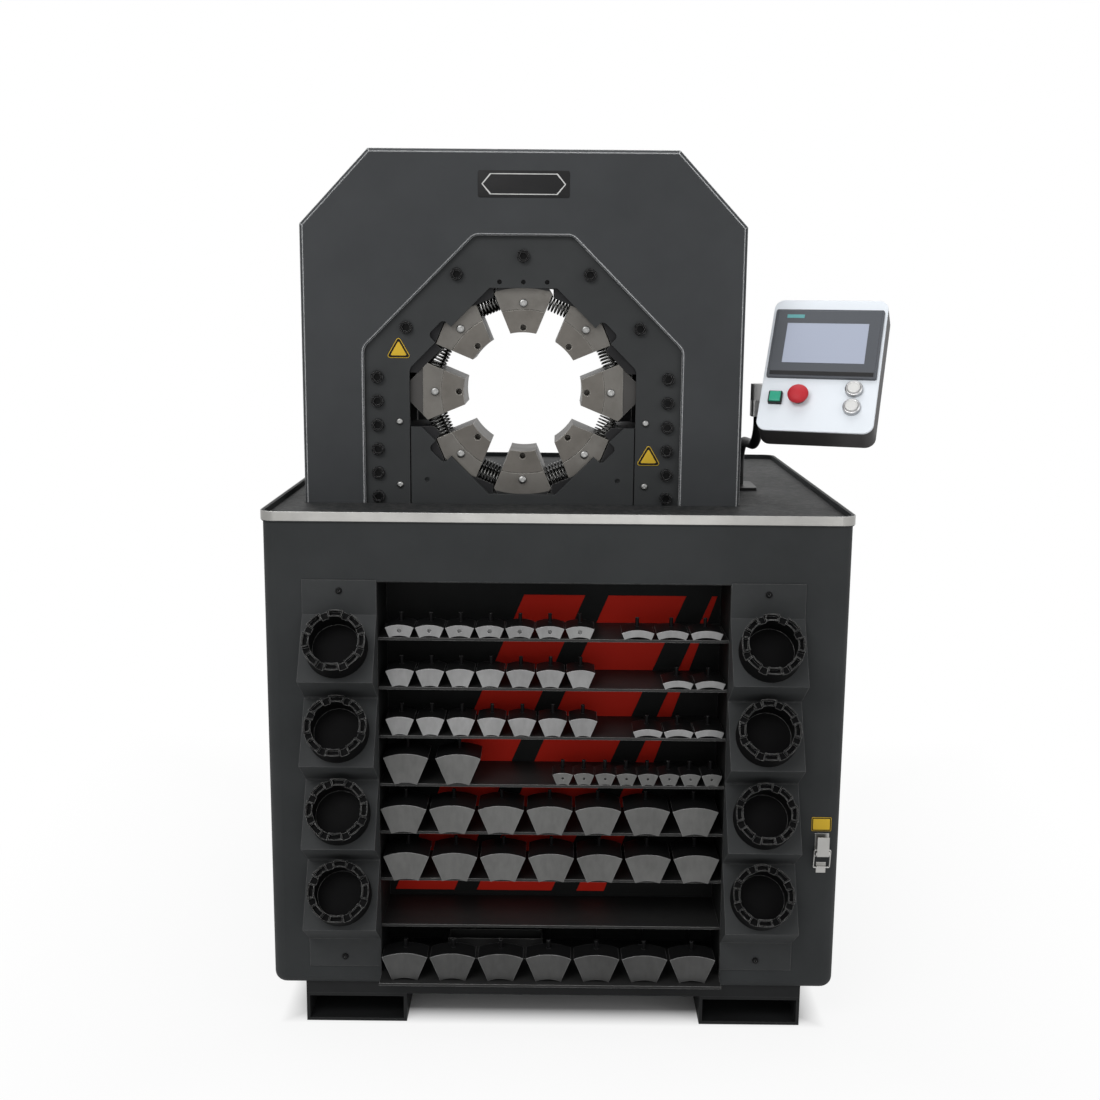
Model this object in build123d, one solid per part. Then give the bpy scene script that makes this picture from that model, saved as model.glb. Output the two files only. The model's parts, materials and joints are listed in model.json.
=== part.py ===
"""Hose crimping machine: a cabinet on forklift rails, a worktop tray, a two-yoke press head with
eight radial dies, a die rack with magazines in the front, and an operator panel on an arm.

Frame: millimetres, X to the operator's right, Y away from the operator, Z up. The origin is on the
floor, at the centre of the four anchor holes in the foot rails.
"""
from build123d import *
import math
import os

# ---------------------------------------------------------------- cabinet and tray
CABINET_WIDTH = 1076.0
CABINET_DEPTH = 1000.0
CABINET_TOP = 984.0
CABINET_SHEET = 3.0
CABINET_EDGE_R = 25.0
RAIL_WIDTH = 194.0
RAIL_HEIGHT = 58.0
RAIL_WALL = 6.0
RAIL_SPACING = 761.0
RAIL_SETBACK = 15.0
ANCHOR_SPACING_Y = 720.0
ANCHOR_HOLE = 18.0
BASE_HEIGHT = 24.0
BASE_TUBE = 60.0
BASE_WALL = 4.0
TRAY_OVERHANG = 4.0
TRAY_FLOOR = 5.0
TRAY_RIM = 19.0
TRAY_RIM_WALL = 6.0
TRAY_EDGE_R = 28.0
BAND_WALL = 1.5
BAND_HEIGHT = 17.0
MAT_THICKNESS = 4.0
REAR_PANEL_WIDTH = 900.0
REAR_PANEL_HEIGHT = 760.0
REAR_PANEL_SHEET = 2.0
REAR_PANEL_OVERLAP = 20.0
REAR_PANEL_CORNER_R = 12.0
LOUVRE_SIZE = (160.0, 8.0)
LOUVRE_PITCH = 24.0
LOUVRE_ROWS = 8
LOUVRE_X = 250.0
LOUVRE_ABOVE_MIDDLE = 120.0

# ---------------------------------------------------------------- die rack in the cabinet front
FRONT_X = -6.0
RACK_WIDTH = 650.0
RACK_BOTTOM = 97.0
RACK_TOP = 876.0
RACK_DEPTH = 148.0
RACK_SHEET = 2.0
SHELF_PITCH = 94.0
SHELF_FIRST = 110.0
SHELF_COUNT = 7
SHELF_SETBACK = 10.0
SHELF_LIP = 3.0
DIE_PIN_D = 7.0
DIE_PIN_PROUD = 16.0
DIE_PIN_SEAT = 8.0
FLOOR_TRAY_PROUD = 45.0
FLOOR_DIE_LENGTH = 48.0
FLOOR_DIE_COUNT = 7
FLOOR_DIE_PITCH = 90.8
FLOOR_DIE_FIRST = -282.0
LOOSE_PIN_Y = -414.0
LOOSE_PIN_LENGTH = 70.0
PARTS_BOX = (184.0, 42.0, 42.0)
PARTS_BOX_X = -206.0
PARTS_BOX_Y = -440.0
PARTS_BOX_WALL = 2.0
DIE_MARK_DEPTH = 6.0
DIE_MARK_SHARE = 0.56

# ---------------------------------------------------------------- die magazines beside the rack
MAGAZINE_X = 392.0
MAGAZINE_WIDTH = 136.0
MAGAZINE_TOP = 878.0
MAGAZINE_BOTTOM = 123.0
MAGAZINE_SHEET = 2.5
STATION_TOP = 813.0
STATION_PITCH = 158.5
STATION_COUNT = 4
STATION_DROP = 109.0
STATION_PROJECTION = 72.0
RING_D = 114.0
RING_BORE = 88.0
RING_HEIGHT = 40.0
RING_FLOOR = 4.0
LUG_COUNT = 8
LUG_HEIGHT = 10.0
LUG_ANGLE = 30.0
LUG_POCKET_WALL = 2.0
LUG_POCKET_DEPTH = 8.0

# ---------------------------------------------------------------- press head
HEAD_X = -69.0
HEAD_Z = 1207.0
HOOD_FRONT = -320.0
HOOD_DEPTH = 340.0
HOOD_HALF_WIDTH = 420.0
HOOD_CORNER_Z = 312.0
HOOD_HALF_TOP = 290.0
HOOD_TOP_Z = 450.0
HOOD_SHEET = 4.0
HOOD_FRONT_SHEET = 9.0
HOOD_BEVEL = 6.0
HOOD_REAR_BORE_R = 204.0
MOUTH_HALF_WIDTH = 302.0
MOUTH_CORNER_Z = 83.0
MOUTH_TOP_Z = 293.0
MOUTH_CORNER_R = 22.0
PLATE_GAP = 3.0
PLATE = 12.0
DIE_COUNT = 8
DIE_LENGTH = 137.0
DIE_SIDE_GAP = 0.5
OPEN_RADIUS = 114.0
INSERT_RADIUS = 157.0
DIE_GAP = 40.0
CLOSING = 50.0
SEAT_RADIUS = 205.0
SEAT_HALF_WIDTH = 49.0
SEAT_RELIEF_HALF_WIDTH = 57.0
SEAT_SHOULDER = 196.0
DIAGONAL_SLIDE = 187.0
DIAGONAL_END = 188.5
SIDE_SLIDE = 168.0
SIDE_NOSE = 232.0
SIDE_FACE = 192.0
SIDE_STEP = 3.0
SLIDE_GAP = 0.2
END_GAP = 2.0
WINDOW_FLAT = 197.0
WINDOW_SLANT = 184.6
NOTCH_NEAR = 10.0
NOTCH_FAR = 52.0
NOTCH_DEPTH = 20.0
NOTCH_R = 9.0
HORN_LOW = -67.0
HORN_GAP = 3.0
YOKE_HALF_WIDTH = 235.0
YOKE_SIDE_GAP = 4.0
YOKE_BASE = 330.0
YOKE_PLATE_HALF_WIDTH = 214.5
YOKE_PLATE_GAP = 2.5
YOKE_SHOULDER = 19.0
YOKE_TAP_D = 10.0
YOKE_TAP_X = 184.0
YOKE_TAP_DROP = 169.0
RECESS_R = 20.0
FRAME_HALF_WIDTH = 330.0
FRAME_TOP = 330.0
FRAME_CHAMFER = 140.0
FRAME_BEAM = 130.0
PLATE_HALF_WIDTH = 312.0
PLATE_SKIRT = 12.0
CYLINDER_D = 240.0
CYLINDER_LENGTH = 250.0
CYLINDER_WALL = 30.0
CYLINDER_FLOOR = 35.0
CYLINDER_PISTON = 70.0
RAM_D = 150.0
RAM_CLEARANCE = 0.1
CAP_SCREW_HEAD_D = 24.0
CAP_SCREW_HEAD = 9.0
CAP_SCREW_SOCKET = 14.0
CAP_SCREW_SHANK_D = 16.0
SCREW_COLUMN_X = 278.0
SCREW_COLUMN_TOP = 28.0
SCREW_COLUMN_PITCH = 46.0
SCREW_COLUMN_COUNT = 6
BUTTON_SCREW_D = 12.0
BUTTON_SCREW_HEAD = 4.0
STOP_SCREW_HOLE = 9.0
MASTER_BOLT_RADIUS = 169.0
MASTER_BOLT_FLATS = 13.0
MASTER_BOLT_HEAD = 5.0
INSERT_HOLE_RADIUS = 123.0
INSERT_HOLE_D = 10.0
INSERT_HOLE_SINK = 1.5
ARC_GROOVE = 0.8
INSERT_HOLE_DEPTH = 30.0
SPRING_RADIUS = 176.0
SPRING_D = 31.0
SPRING_WIRE = 3.0
SPRING_TURNS = 14
SPRING_POCKET_D = 32.0
SPRING_POCKET_DEPTH = 22.0
SPRING_INSET = 20.0

# ---------------------------------------------------------------- power unit inside the cabinet
TANK_WIDTH = 620.0
TANK_DEPTH = 330.0
TANK_HEIGHT = 300.0
TANK_WALL = 4.0
MOTOR_D = 220.0
MOTOR_LENGTH = 300.0
PUMP_D = 110.0
PUMP_LENGTH = 130.0
VALVE_BLOCK = (120.0, 100.0, 90.0)

# ---------------------------------------------------------------- operator panel on its arm
POST_D = 20.0
POST_WALL = 2.5
POST_FOOT = (64.0, 110.0, 10.0)
POST_FOOT_XY = (385.0, -40.0)
SWIVEL_XY = (399.0, -203.0)
SWIVEL_Z = 1190.0
KNUCKLE = 32.0
KNUCKLE_GAP = 0.3
HALF_EYE = 13.0
SWIVEL_PIN_D = 12.0
ARM_LENGTH = 70.0
TILT_SHAFT_D = 16.0
PIN_FIT = 0.05
EAR = 8.0
EAR_GAP = 0.4
EAR_U = 50.0
EAR_V = 126.0
EAR_STAND = 17.0
PANEL_YAW = -19.5
PANEL_TILT = 34.7
PANEL_WIDTH = 220.0
PANEL_HEIGHT = 295.0
PANEL_CORNER_R = 20.0
PANEL_PLATE = 3.0
HOUSING_DEPTH = 55.0
HOUSING_WALL = 3.0
SCREEN_WIDTH = 209.0
SCREEN_HEIGHT = 155.0
SCREEN_PROUD = 6.0
SCREEN_BODY = 30.0
SCREEN_ABOVE_BOTTOM = 115.0
ESTOP_UV = (73.5, 73.4)
ESTOP_D = 40.0
ESTOP_TRAVEL = 4.0
GREEN_UV = (29.5, 69.6)
GREEN_SIZE = 21.0
ROUND_U = 175.5
ROUND_UPPER_V = 93.2
ROUND_LOWER_V = 54.0
ROUND_D = 34.0
BUTTON_TRAVEL = 3.0
STEM_FIT = 0.05

# ---------------------------------------------------------------- toggle latch on the cabinet
LATCH_INSET = 35.0
LATCH_TOP = 400.0
LATCH_WIDTH = 26.0
LATCH_BOTTOM = 322.0
LATCH_SHEET = 1.5
LATCH_GAP = 0.3
LATCH_PIN_D = 4.0
LATCH_PIN_Z = 364.0
LATCH_PIN_OUT = 13.0
LATCH_EAR_R = 5.0
LATCH_WIRE = 3.0
BAIL_OFFSET_Y = 1.0
BAIL_OFFSET_Z = 7.0
KEEPER_HALF_WIDTH = 9.0
KEEPER_FLANGE_Z = 336.0
KEEPER_REACH = 10.0

# ---------------------------------------------------------------- values worked out from those above
FRONT = -CABINET_DEPTH / 2
REAR = CABINET_DEPTH / 2
CABINET_BOTTOM = RAIL_HEIGHT + BASE_HEIGHT
TRAY_FLOOR_TOP = CABINET_TOP + TRAY_FLOOR
TRAY_TOP = CABINET_TOP + TRAY_RIM
FAN = 180.0 / DIE_COUNT
HALF_GAP = DIE_GAP / 2
STROKE = 2 * CLOSING
PLATE_FRONT = HOOD_FRONT + HOOD_FRONT_SHEET + PLATE_GAP
FRAME_FRONT = PLATE_FRONT + PLATE
FRAME_DEPTH = DIE_LENGTH + 2 * DIE_SIDE_GAP
FRAME_BACK = FRAME_FRONT + FRAME_DEPTH
DIE_FRONT = FRAME_FRONT + DIE_SIDE_GAP
FRAME_MIDDLE = FRAME_FRONT + FRAME_DEPTH / 2
HORN_HIGH = HORN_LOW + STROKE + HORN_GAP
FRAME_INNER = YOKE_HALF_WIDTH + YOKE_SIDE_GAP
CYLINDER_TOP_Z = -YOKE_BASE - PLATE_GAP
CROSSHEAD_Z = CYLINDER_TOP_Z - CYLINDER_LENGTH
FRAME_BOTTOM = CROSSHEAD_Z - FRAME_BEAM
MAT_TOP = TRAY_FLOOR_TOP + MAT_THICKNESS
HOOD_BASE = TRAY_FLOOR_TOP - HEAD_Z
LATCH_X = CABINET_WIDTH / 2 - LATCH_INSET

PARTS = {}


def keep(name, *solids):
    """Store the solids of one named sub-part."""
    PARTS[name] = solids[0] if len(solids) == 1 else Compound(children=list(solids))


# ---------------------------------------------------------------- drawing helpers
def outline(*points):
    """A flat face through the given (x, z) points, straight from one to the next."""
    return make_face(Polyline(*points, close=True))


def slab(face, front, depth):
    """Stand a face drawn in (x, z) upright and give it a depth from the plane Y = front."""
    upright = Plane(origin=(0, front + depth, 0), x_dir=(1, 0, 0), z_dir=(0, -1, 0))
    return extrude(upright * face, amount=depth)


def head_slab(face, front, depth):
    """A slab drawn about the crimping axis, placed at the head."""
    return Pos(HEAD_X, 0, HEAD_Z) * slab(face, front, depth)


def brick(x_range, y_range, z_range):
    """A box from its lowest to its highest corner."""
    size = [high - low for low, high in (x_range, y_range, z_range)]
    return Pos(x_range[0], y_range[0], z_range[0]) * Box(*size, align=(Align.MIN,) * 3)


def rod(start, direction, radius, length):
    """A round bar that starts at a point and runs along a direction."""
    return Plane(origin=start, z_dir=direction) * Cylinder(
        radius, length, align=(Align.CENTER, Align.CENTER, Align.MIN))


def heading(angle):
    """The unit (x, z) direction at an angle from +X towards +Z."""
    return math.cos(math.radians(angle)), math.sin(math.radians(angle))


def polar(angle, along, across=0.0):
    """The (x, z) point at a distance along a heading, moved sideways, anticlockwise positive."""
    ax, az = heading(angle)
    return along * ax - across * az, along * az + across * ax


def mirrored(points, across_x=False, across_z=False):
    """Flip a list of (x, z) points left to right, or top to bottom."""
    flip_x = -1 if across_x else 1
    flip_z = -1 if across_z else 1
    return [(flip_x * x, flip_z * z) for x, z in points]


def both_sides(left_points):
    """Close a left-hand profile with its mirror image on the right."""
    return left_points + mirrored(left_points, across_x=True)[::-1]


def solids_of(shape):
    """The separate solids of a shape, largest first."""
    return sorted(shape.solids(), key=lambda solid: -solid.volume)


# ---------------------------------------------------------------- cabinet
def foot_rails():
    """Two rectangular fork pockets, open at both ends, drilled for the floor anchors."""
    rails = []
    y_range = (FRONT + RAIL_SETBACK, REAR - RAIL_SETBACK)
    for side in (-1, 1):
        x = side * RAIL_SPACING / 2
        outer = brick((x - RAIL_WIDTH / 2, x + RAIL_WIDTH / 2), y_range, (0, RAIL_HEIGHT))
        inner = brick((x - RAIL_WIDTH / 2 + RAIL_WALL, x + RAIL_WIDTH / 2 - RAIL_WALL), y_range,
                      (RAIL_WALL, RAIL_HEIGHT - RAIL_WALL))
        rail = outer - inner
        for y in (-ANCHOR_SPACING_Y / 2, ANCHOR_SPACING_Y / 2):
            rail -= Pos(x, y, RAIL_WALL / 2) * Cylinder(ANCHOR_HOLE / 2, 2 * RAIL_WALL)
        rails.append(rail)
    keep("foot_rails", *rails)


def base_frame():
    """A ladder of flat tubes on the rails, with two posts that carry the press frame."""
    half_x = RAIL_SPACING / 2 + RAIL_WIDTH / 2
    z_range = (RAIL_HEIGHT, CABINET_BOTTOM)
    setback = RAIL_SETBACK
    ladder = brick((-half_x, half_x), (FRONT + setback, REAR - setback), z_range)
    inner_half = half_x - BASE_TUBE
    bays = [FRONT + setback + BASE_TUBE, FRAME_MIDDLE - BASE_TUBE, FRAME_MIDDLE + BASE_TUBE,
            REAR - setback - BASE_TUBE]
    for low, high in ((bays[0], bays[1]), (bays[2], bays[3])):
        ladder -= brick((-inner_half, inner_half), (low, high), z_range)
    keep("base_frame", ladder, *frame_posts())


def frame_posts():
    """The two box posts that stand on the cabinet floor and carry the press frame."""
    top = HEAD_Z + FRAME_BOTTOM
    reach = FRAME_HALF_WIDTH - BASE_TUBE
    posts = []
    for side in (-1, 1):
        x = HEAD_X + side * reach
        z_range = (CABINET_BOTTOM + CABINET_SHEET, top)
        outer = brick((x - BASE_TUBE, x + BASE_TUBE),
                      (FRAME_MIDDLE - BASE_TUBE, FRAME_MIDDLE + BASE_TUBE), z_range)
        inset = BASE_TUBE - BASE_WALL
        inner = brick((x - inset, x + inset), (FRAME_MIDDLE - inset, FRAME_MIDDLE + inset), z_range)
        posts.append(outer - inner)
    return posts


def rounded_body(inset):
    """The cabinet's body with round upright and bottom edges, drawn in by a wall."""
    half_x = CABINET_WIDTH / 2 - inset
    body = brick((-half_x, half_x), (FRONT + inset, REAR - inset),
                 (CABINET_BOTTOM + inset, CABINET_TOP - inset))
    body = fillet(body.edges().filter_by(Axis.Z), CABINET_EDGE_R - inset)
    return fillet(body.edges().group_by(Axis.Z)[0], (CABINET_EDGE_R - inset) * 0.8)


def head_opening(clearance):
    """The hole that the press frame and its plates pass through, between two heights."""
    reach = FRAME_HALF_WIDTH + clearance
    return brick((HEAD_X - reach, HEAD_X + reach),
                 (PLATE_FRONT - clearance, FRAME_BACK + PLATE + clearance),
                 (CABINET_TOP - 2 * CABINET_SHEET, TRAY_TOP))


def cabinet_shell():
    """The folded sheet cabinet, open for the rack, the rear panel and the press head."""
    shell = rounded_body(0) - rounded_body(CABINET_SHEET)
    shell -= brick((FRONT_X - RACK_WIDTH / 2, FRONT_X + RACK_WIDTH / 2),
                   (FRONT - 1, FRONT + 2 * CABINET_SHEET), (RACK_BOTTOM, RACK_TOP))
    inset = REAR_PANEL_OVERLAP
    middle_z = (CABINET_BOTTOM + CABINET_TOP) / 2
    shell -= brick((inset - REAR_PANEL_WIDTH / 2, REAR_PANEL_WIDTH / 2 - inset),
                   (REAR - 2 * CABINET_SHEET, REAR + 1),
                   (middle_z - REAR_PANEL_HEIGHT / 2 + inset, middle_z + REAR_PANEL_HEIGHT / 2 - inset))
    shell -= head_opening(PLATE_GAP)
    for x, z in panel_screw_places():
        shell -= Pos(x, FRONT, z) * Rot(90, 0, 0) * Cylinder(BUTTON_SCREW_D / 4, 4 * CABINET_SHEET)
    keep("cabinet_shell", shell)


def rear_panel():
    """The lift-off rear panel with its rows of louvres."""
    middle_z = (CABINET_BOTTOM + CABINET_TOP) / 2
    panel = brick((-REAR_PANEL_WIDTH / 2, REAR_PANEL_WIDTH / 2), (REAR, REAR + REAR_PANEL_SHEET),
                  (middle_z - REAR_PANEL_HEIGHT / 2, middle_z + REAR_PANEL_HEIGHT / 2))
    panel = fillet(panel.edges().filter_by(Axis.Y), REAR_PANEL_CORNER_R)
    for row in range(LOUVRE_ROWS):
        for x in (-LOUVRE_X, LOUVRE_X):
            slot = SlotOverall(*LOUVRE_SIZE)
            z = middle_z + LOUVRE_ABOVE_MIDDLE + row * LOUVRE_PITCH
            panel -= Pos(x, 0, z) * slab(slot, REAR - 1, REAR_PANEL_SHEET + 2)
    keep("rear_panel", panel)


# ---------------------------------------------------------------- tray
def rounded_plate(half_x, half_y, corner_r, z_range):
    """A flat plate with round corners, centred on the cabinet."""
    plate = brick((-half_x, half_x), (-half_y, half_y), z_range)
    return fillet(plate.edges().filter_by(Axis.Z), corner_r)


def worktop():
    """The worktop tray with its raised rim, its brushed edge band and its rubber mat."""
    half_x = CABINET_WIDTH / 2 + TRAY_OVERHANG
    half_y = CABINET_DEPTH / 2 + TRAY_OVERHANG
    core_x = half_x - BAND_WALL
    core_y = half_y - BAND_WALL
    core_r = TRAY_EDGE_R - BAND_WALL
    tray = rounded_plate(core_x, core_y, core_r, (CABINET_TOP, TRAY_TOP))
    tray -= rounded_plate(core_x - TRAY_RIM_WALL, core_y - TRAY_RIM_WALL, core_r - TRAY_RIM_WALL,
                          (TRAY_FLOOR_TOP, TRAY_TOP))
    tray -= head_opening(PLATE_GAP)
    keep("worktop_tray", tray)

    band_range = (TRAY_TOP - BAND_HEIGHT, TRAY_TOP)
    band = rounded_plate(half_x, half_y, TRAY_EDGE_R, band_range)
    band -= rounded_plate(core_x, core_y, core_r, band_range)
    keep("tray_edge_band", band)

    mat_gap = TRAY_RIM_WALL + 1.0
    mat = rounded_plate(core_x - mat_gap, core_y - mat_gap, core_r - mat_gap, (TRAY_FLOOR_TOP, MAT_TOP))
    margin = 1.0
    mat -= brick((HEAD_X - HOOD_HALF_WIDTH - margin, HEAD_X + HOOD_HALF_WIDTH + margin),
                 (HOOD_FRONT - margin, HOOD_FRONT + HOOD_DEPTH + margin), (TRAY_FLOOR_TOP, MAT_TOP))
    foot_x, foot_y = POST_FOOT_XY
    mat -= brick((foot_x - POST_FOOT[0] / 2 - margin, foot_x + POST_FOOT[0] / 2 + margin),
                 (foot_y - POST_FOOT[1] / 2 - margin, foot_y + POST_FOOT[1] / 2 + margin),
                 (TRAY_FLOOR_TOP, MAT_TOP))
    keep("tray_mat", mat)


# ---------------------------------------------------------------- rack
def rack():
    """The open-fronted rack box and its shelves; the lowest is a tray that stands proud."""
    half = RACK_WIDTH / 2
    x_range = (FRONT_X - half, FRONT_X + half)
    outer = brick(x_range, (FRONT, FRONT + RACK_DEPTH), (RACK_BOTTOM, RACK_TOP))
    inner = brick((x_range[0] + RACK_SHEET, x_range[1] - RACK_SHEET),
                  (FRONT - 1, FRONT + RACK_DEPTH - RACK_SHEET),
                  (RACK_BOTTOM + RACK_SHEET, RACK_TOP - RACK_SHEET))
    keep("rack_box", outer - inner)

    shelves = []
    rear = FRONT + RACK_DEPTH - RACK_SHEET
    shelf_x = (x_range[0] + RACK_SHEET, x_range[1] - RACK_SHEET)
    for index in range(SHELF_COUNT + 1):
        z = SHELF_FIRST + index * SHELF_PITCH
        front = FRONT + SHELF_SETBACK if index else FRONT - FLOOR_TRAY_PROUD
        shelf = brick(shelf_x, (front, rear), (z - RACK_SHEET, z))
        shelf += brick(shelf_x, (front, front + RACK_SHEET), (z - RACK_SHEET - SHELF_LIP, z))
        shelves.append(shelf)
    keep("rack_shelves", *shelves, parts_box())


def parts_box():
    """The small open box that stands at the back of the lowest tray."""
    width, depth, height = PARTS_BOX
    wall = PARTS_BOX_WALL
    x_range = (PARTS_BOX_X, PARTS_BOX_X + width)
    y_range = (PARTS_BOX_Y, PARTS_BOX_Y + depth)
    box = brick(x_range, y_range, (SHELF_FIRST, SHELF_FIRST + height))
    return box - brick((x_range[0] + wall, x_range[1] - wall), (y_range[0] + wall, y_range[1] - wall),
                       (SHELF_FIRST + wall, SHELF_FIRST + height))


def loose_pins():
    """The spare pins that stand in a row on the lowest tray, beside the parts box."""
    pins = []
    for index in range(FLOOR_DIE_COUNT):
        x = FLOOR_DIE_FIRST + index * FLOOR_DIE_PITCH
        if not PARTS_BOX_X - DIE_PIN_D < x < PARTS_BOX_X + PARTS_BOX[0] + DIE_PIN_D:
            pins.append(rod((x, LOOSE_PIN_Y, SHELF_FIRST), (0, 0, 1), DIE_PIN_D / 2, LOOSE_PIN_LENGTH))
    return pins


def sector_die(outer_r, inner_r, length):
    """One die segment that stands on its inner arc, front face in the plane Y = 0."""
    span = 180.0 / DIE_COUNT
    wedge = outline((0, 0), polar(90 + span, 2 * outer_r), polar(90 - span, 2 * outer_r))
    face = (Circle(outer_r) - Circle(inner_r)) & wedge
    lift = -inner_r * math.cos(math.radians(span))
    return slab(Pos(0, lift) * face, 0, length), outer_r + lift


def die_row(shelf, first_x, pitch, count, outer_r, inner_r, length, proud=0.0, mark_d=0.0):
    """A row of equal die segments on one shelf, with the pin and the mark that each may have."""
    z = SHELF_FIRST + shelf * SHELF_PITCH
    segments = []
    pins = []
    for index in range(count):
        segment, height = sector_die(outer_r, inner_r, length)
        x = first_x + index * pitch
        y = FRONT + SHELF_SETBACK - proud
        pin_y = y + length * 0.6
        hole = Pos(x, pin_y, z + height) * Cylinder(DIE_PIN_D / 2, 2 * DIE_PIN_SEAT)
        if mark_d:
            hole += rod((x, y - 1, z + height * DIE_MARK_SHARE), (0, 1, 0), mark_d / 2, DIE_MARK_DEPTH + 1)
        segments.append(Pos(x, y, z) * segment - hole)
        pins.append(rod((x, pin_y, z + height - DIE_PIN_SEAT), (0, 0, 1), DIE_PIN_D / 2,
                        DIE_PIN_SEAT + DIE_PIN_PROUD))
    return segments, pins


def stored_dies():
    """The spare die sets on the shelves, from the smallest at the top to the longest below."""
    rows = {
        "stored_dies_upper": [
            die_row(7, -290, 55.5, 7, 69, 48.7, 62, mark_d=8),
            die_row(7, 150, 63.5, 3, 78, 65, 62),
            die_row(6, -290, 55.9, 7, 69, 36.8, 62),
            die_row(6, 226, 59.6, 2, 74, 62, 62),
            die_row(5, -291, 57.0, 7, 69, 35.5, 62),
            die_row(5, 172, 57.4, 3, 72, 60, 62),
        ],
        "stored_dies_middle": [
            die_row(4, -280, 98, 2, 110, 54, 75, 6),
            die_row(4, 14, 40.0, 8, 50, 28.5, 50, mark_d=5),
            die_row(3, -284, 91.3, 7, 112, 60, 78, 14),
            die_row(2, -280, 91.3, 7, 112, 60, 78, 14),
        ],
        "stored_dies_floor": [
            die_row(0, FLOOR_DIE_FIRST, FLOOR_DIE_PITCH, FLOOR_DIE_COUNT, 112, 62, FLOOR_DIE_LENGTH, 42),
        ],
    }
    pins = []
    for name, groups in rows.items():
        segments = []
        for row_segments, row_pins in groups:
            segments.extend(row_segments)
            pins.extend(row_pins)
        keep(name, *segments)
    keep("stored_die_pins", *pins, *loose_pins())


# ---------------------------------------------------------------- die magazines
def station_profile():
    """The saw-tooth side of a magazine bracket in (y, z)."""
    points = [(FRONT, MAGAZINE_BOTTOM), (FRONT, MAGAZINE_TOP),
              (FRONT - MAGAZINE_SHEET, MAGAZINE_TOP)]
    for index in range(STATION_COUNT):
        top = STATION_TOP - index * STATION_PITCH
        points.append((FRONT - MAGAZINE_SHEET, top))
        points.append((FRONT - STATION_PROJECTION, top - STATION_DROP))
        foot = top - STATION_PITCH + MAGAZINE_SHEET if index + 1 < STATION_COUNT else top - STATION_PITCH
        points.append((FRONT - MAGAZINE_SHEET, foot))
    points.append((FRONT - MAGAZINE_SHEET, MAGAZINE_BOTTOM))
    return points


def station_frame(side, index):
    """The plane on a tilted station face, centred under its ring and facing outwards."""
    top = STATION_TOP - index * STATION_PITCH
    centre = (FRONT_X + side * MAGAZINE_X, FRONT - STATION_PROJECTION / 2 - MAGAZINE_SHEET / 2,
              top - STATION_DROP / 2)
    depth = STATION_PROJECTION - MAGAZINE_SHEET
    return Plane(origin=centre, x_dir=(1, 0, 0), z_dir=(0, -STATION_DROP, depth))


def magazine_bracket(side):
    """One saw-tooth bracket, hollow behind its tilted faces."""
    profile = outline(*station_profile())
    x = FRONT_X + side * MAGAZINE_X
    upright = Plane(origin=(x - MAGAZINE_WIDTH / 2, 0, 0), x_dir=(0, 1, 0), z_dir=(1, 0, 0))
    bracket = extrude(upright * profile, amount=MAGAZINE_WIDTH)
    sheet = 2 * MAGAZINE_SHEET
    for index in range(STATION_COUNT):
        top = STATION_TOP - index * STATION_PITCH
        hollow = outline((FRONT, top - sheet), (FRONT - STATION_PROJECTION + sheet, top - STATION_DROP),
                         (FRONT, top - STATION_PITCH + sheet))
        inside = Plane(origin=(x - MAGAZINE_WIDTH / 2 + MAGAZINE_SHEET, 0, 0), x_dir=(0, 1, 0),
                       z_dir=(1, 0, 0))
        bracket -= extrude(inside * hollow, amount=MAGAZINE_WIDTH - 2 * MAGAZINE_SHEET)
    for px, z in panel_screw_places():
        bracket -= Pos(px, FRONT, z) * Rot(90, 0, 0) * Cylinder(BUTTON_SCREW_D / 4, 4 * MAGAZINE_SHEET)
    return bracket


def ring_sectors(outer_r, inner_r, half_angle):
    """The flat face of eight equal sectors of a ring, the first at the top."""
    face = Sketch()
    for index in range(LUG_COUNT):
        turn = 90 + index * 360.0 / LUG_COUNT
        wedge = outline((0, 0), polar(turn - half_angle, 2 * outer_r), polar(turn + half_angle, 2 * outer_r))
        face += (Circle(outer_r) - Circle(inner_r)) & wedge
    return face


def magazine_ring():
    """One moulded ring: a shallow cup whose rim carries eight slotted lugs."""
    outer_r = RING_D / 2
    inner_r = RING_BORE / 2
    ring = extrude(Circle(outer_r) - Circle(inner_r), amount=RING_HEIGHT)
    ring += extrude(Circle(outer_r), amount=RING_FLOOR)
    lugs = ring_sectors(outer_r, inner_r, LUG_ANGLE / 2)
    ring += Pos(0, 0, RING_HEIGHT) * extrude(lugs, amount=LUG_HEIGHT)
    wall = LUG_POCKET_WALL
    narrow = LUG_ANGLE / 2 - math.degrees(wall / inner_r)
    pockets = ring_sectors(outer_r - wall, inner_r + wall, narrow)
    floor = RING_HEIGHT + LUG_HEIGHT - LUG_POCKET_DEPTH
    return ring - Pos(0, 0, floor) * extrude(pockets, amount=LUG_POCKET_DEPTH)


def magazines():
    """Two saw-tooth brackets and the eight moulded rings on their faces."""
    keep("magazine_brackets", *[magazine_bracket(side) for side in (-1, 1)])
    ring = magazine_ring()
    rings = [station_frame(side, index).location * ring
             for side in (-1, 1) for index in range(STATION_COUNT)]
    keep("die_magazines", *rings)


def panel_screw_places():
    """Where the four keyhole screws hold the magazine brackets to the cabinet, as (x, z)."""
    inset = 20.0
    return [(FRONT_X + side * MAGAZINE_X, z) for side in (-1, 1)
            for z in (MAGAZINE_TOP - inset, MAGAZINE_BOTTOM + inset)]


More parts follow.
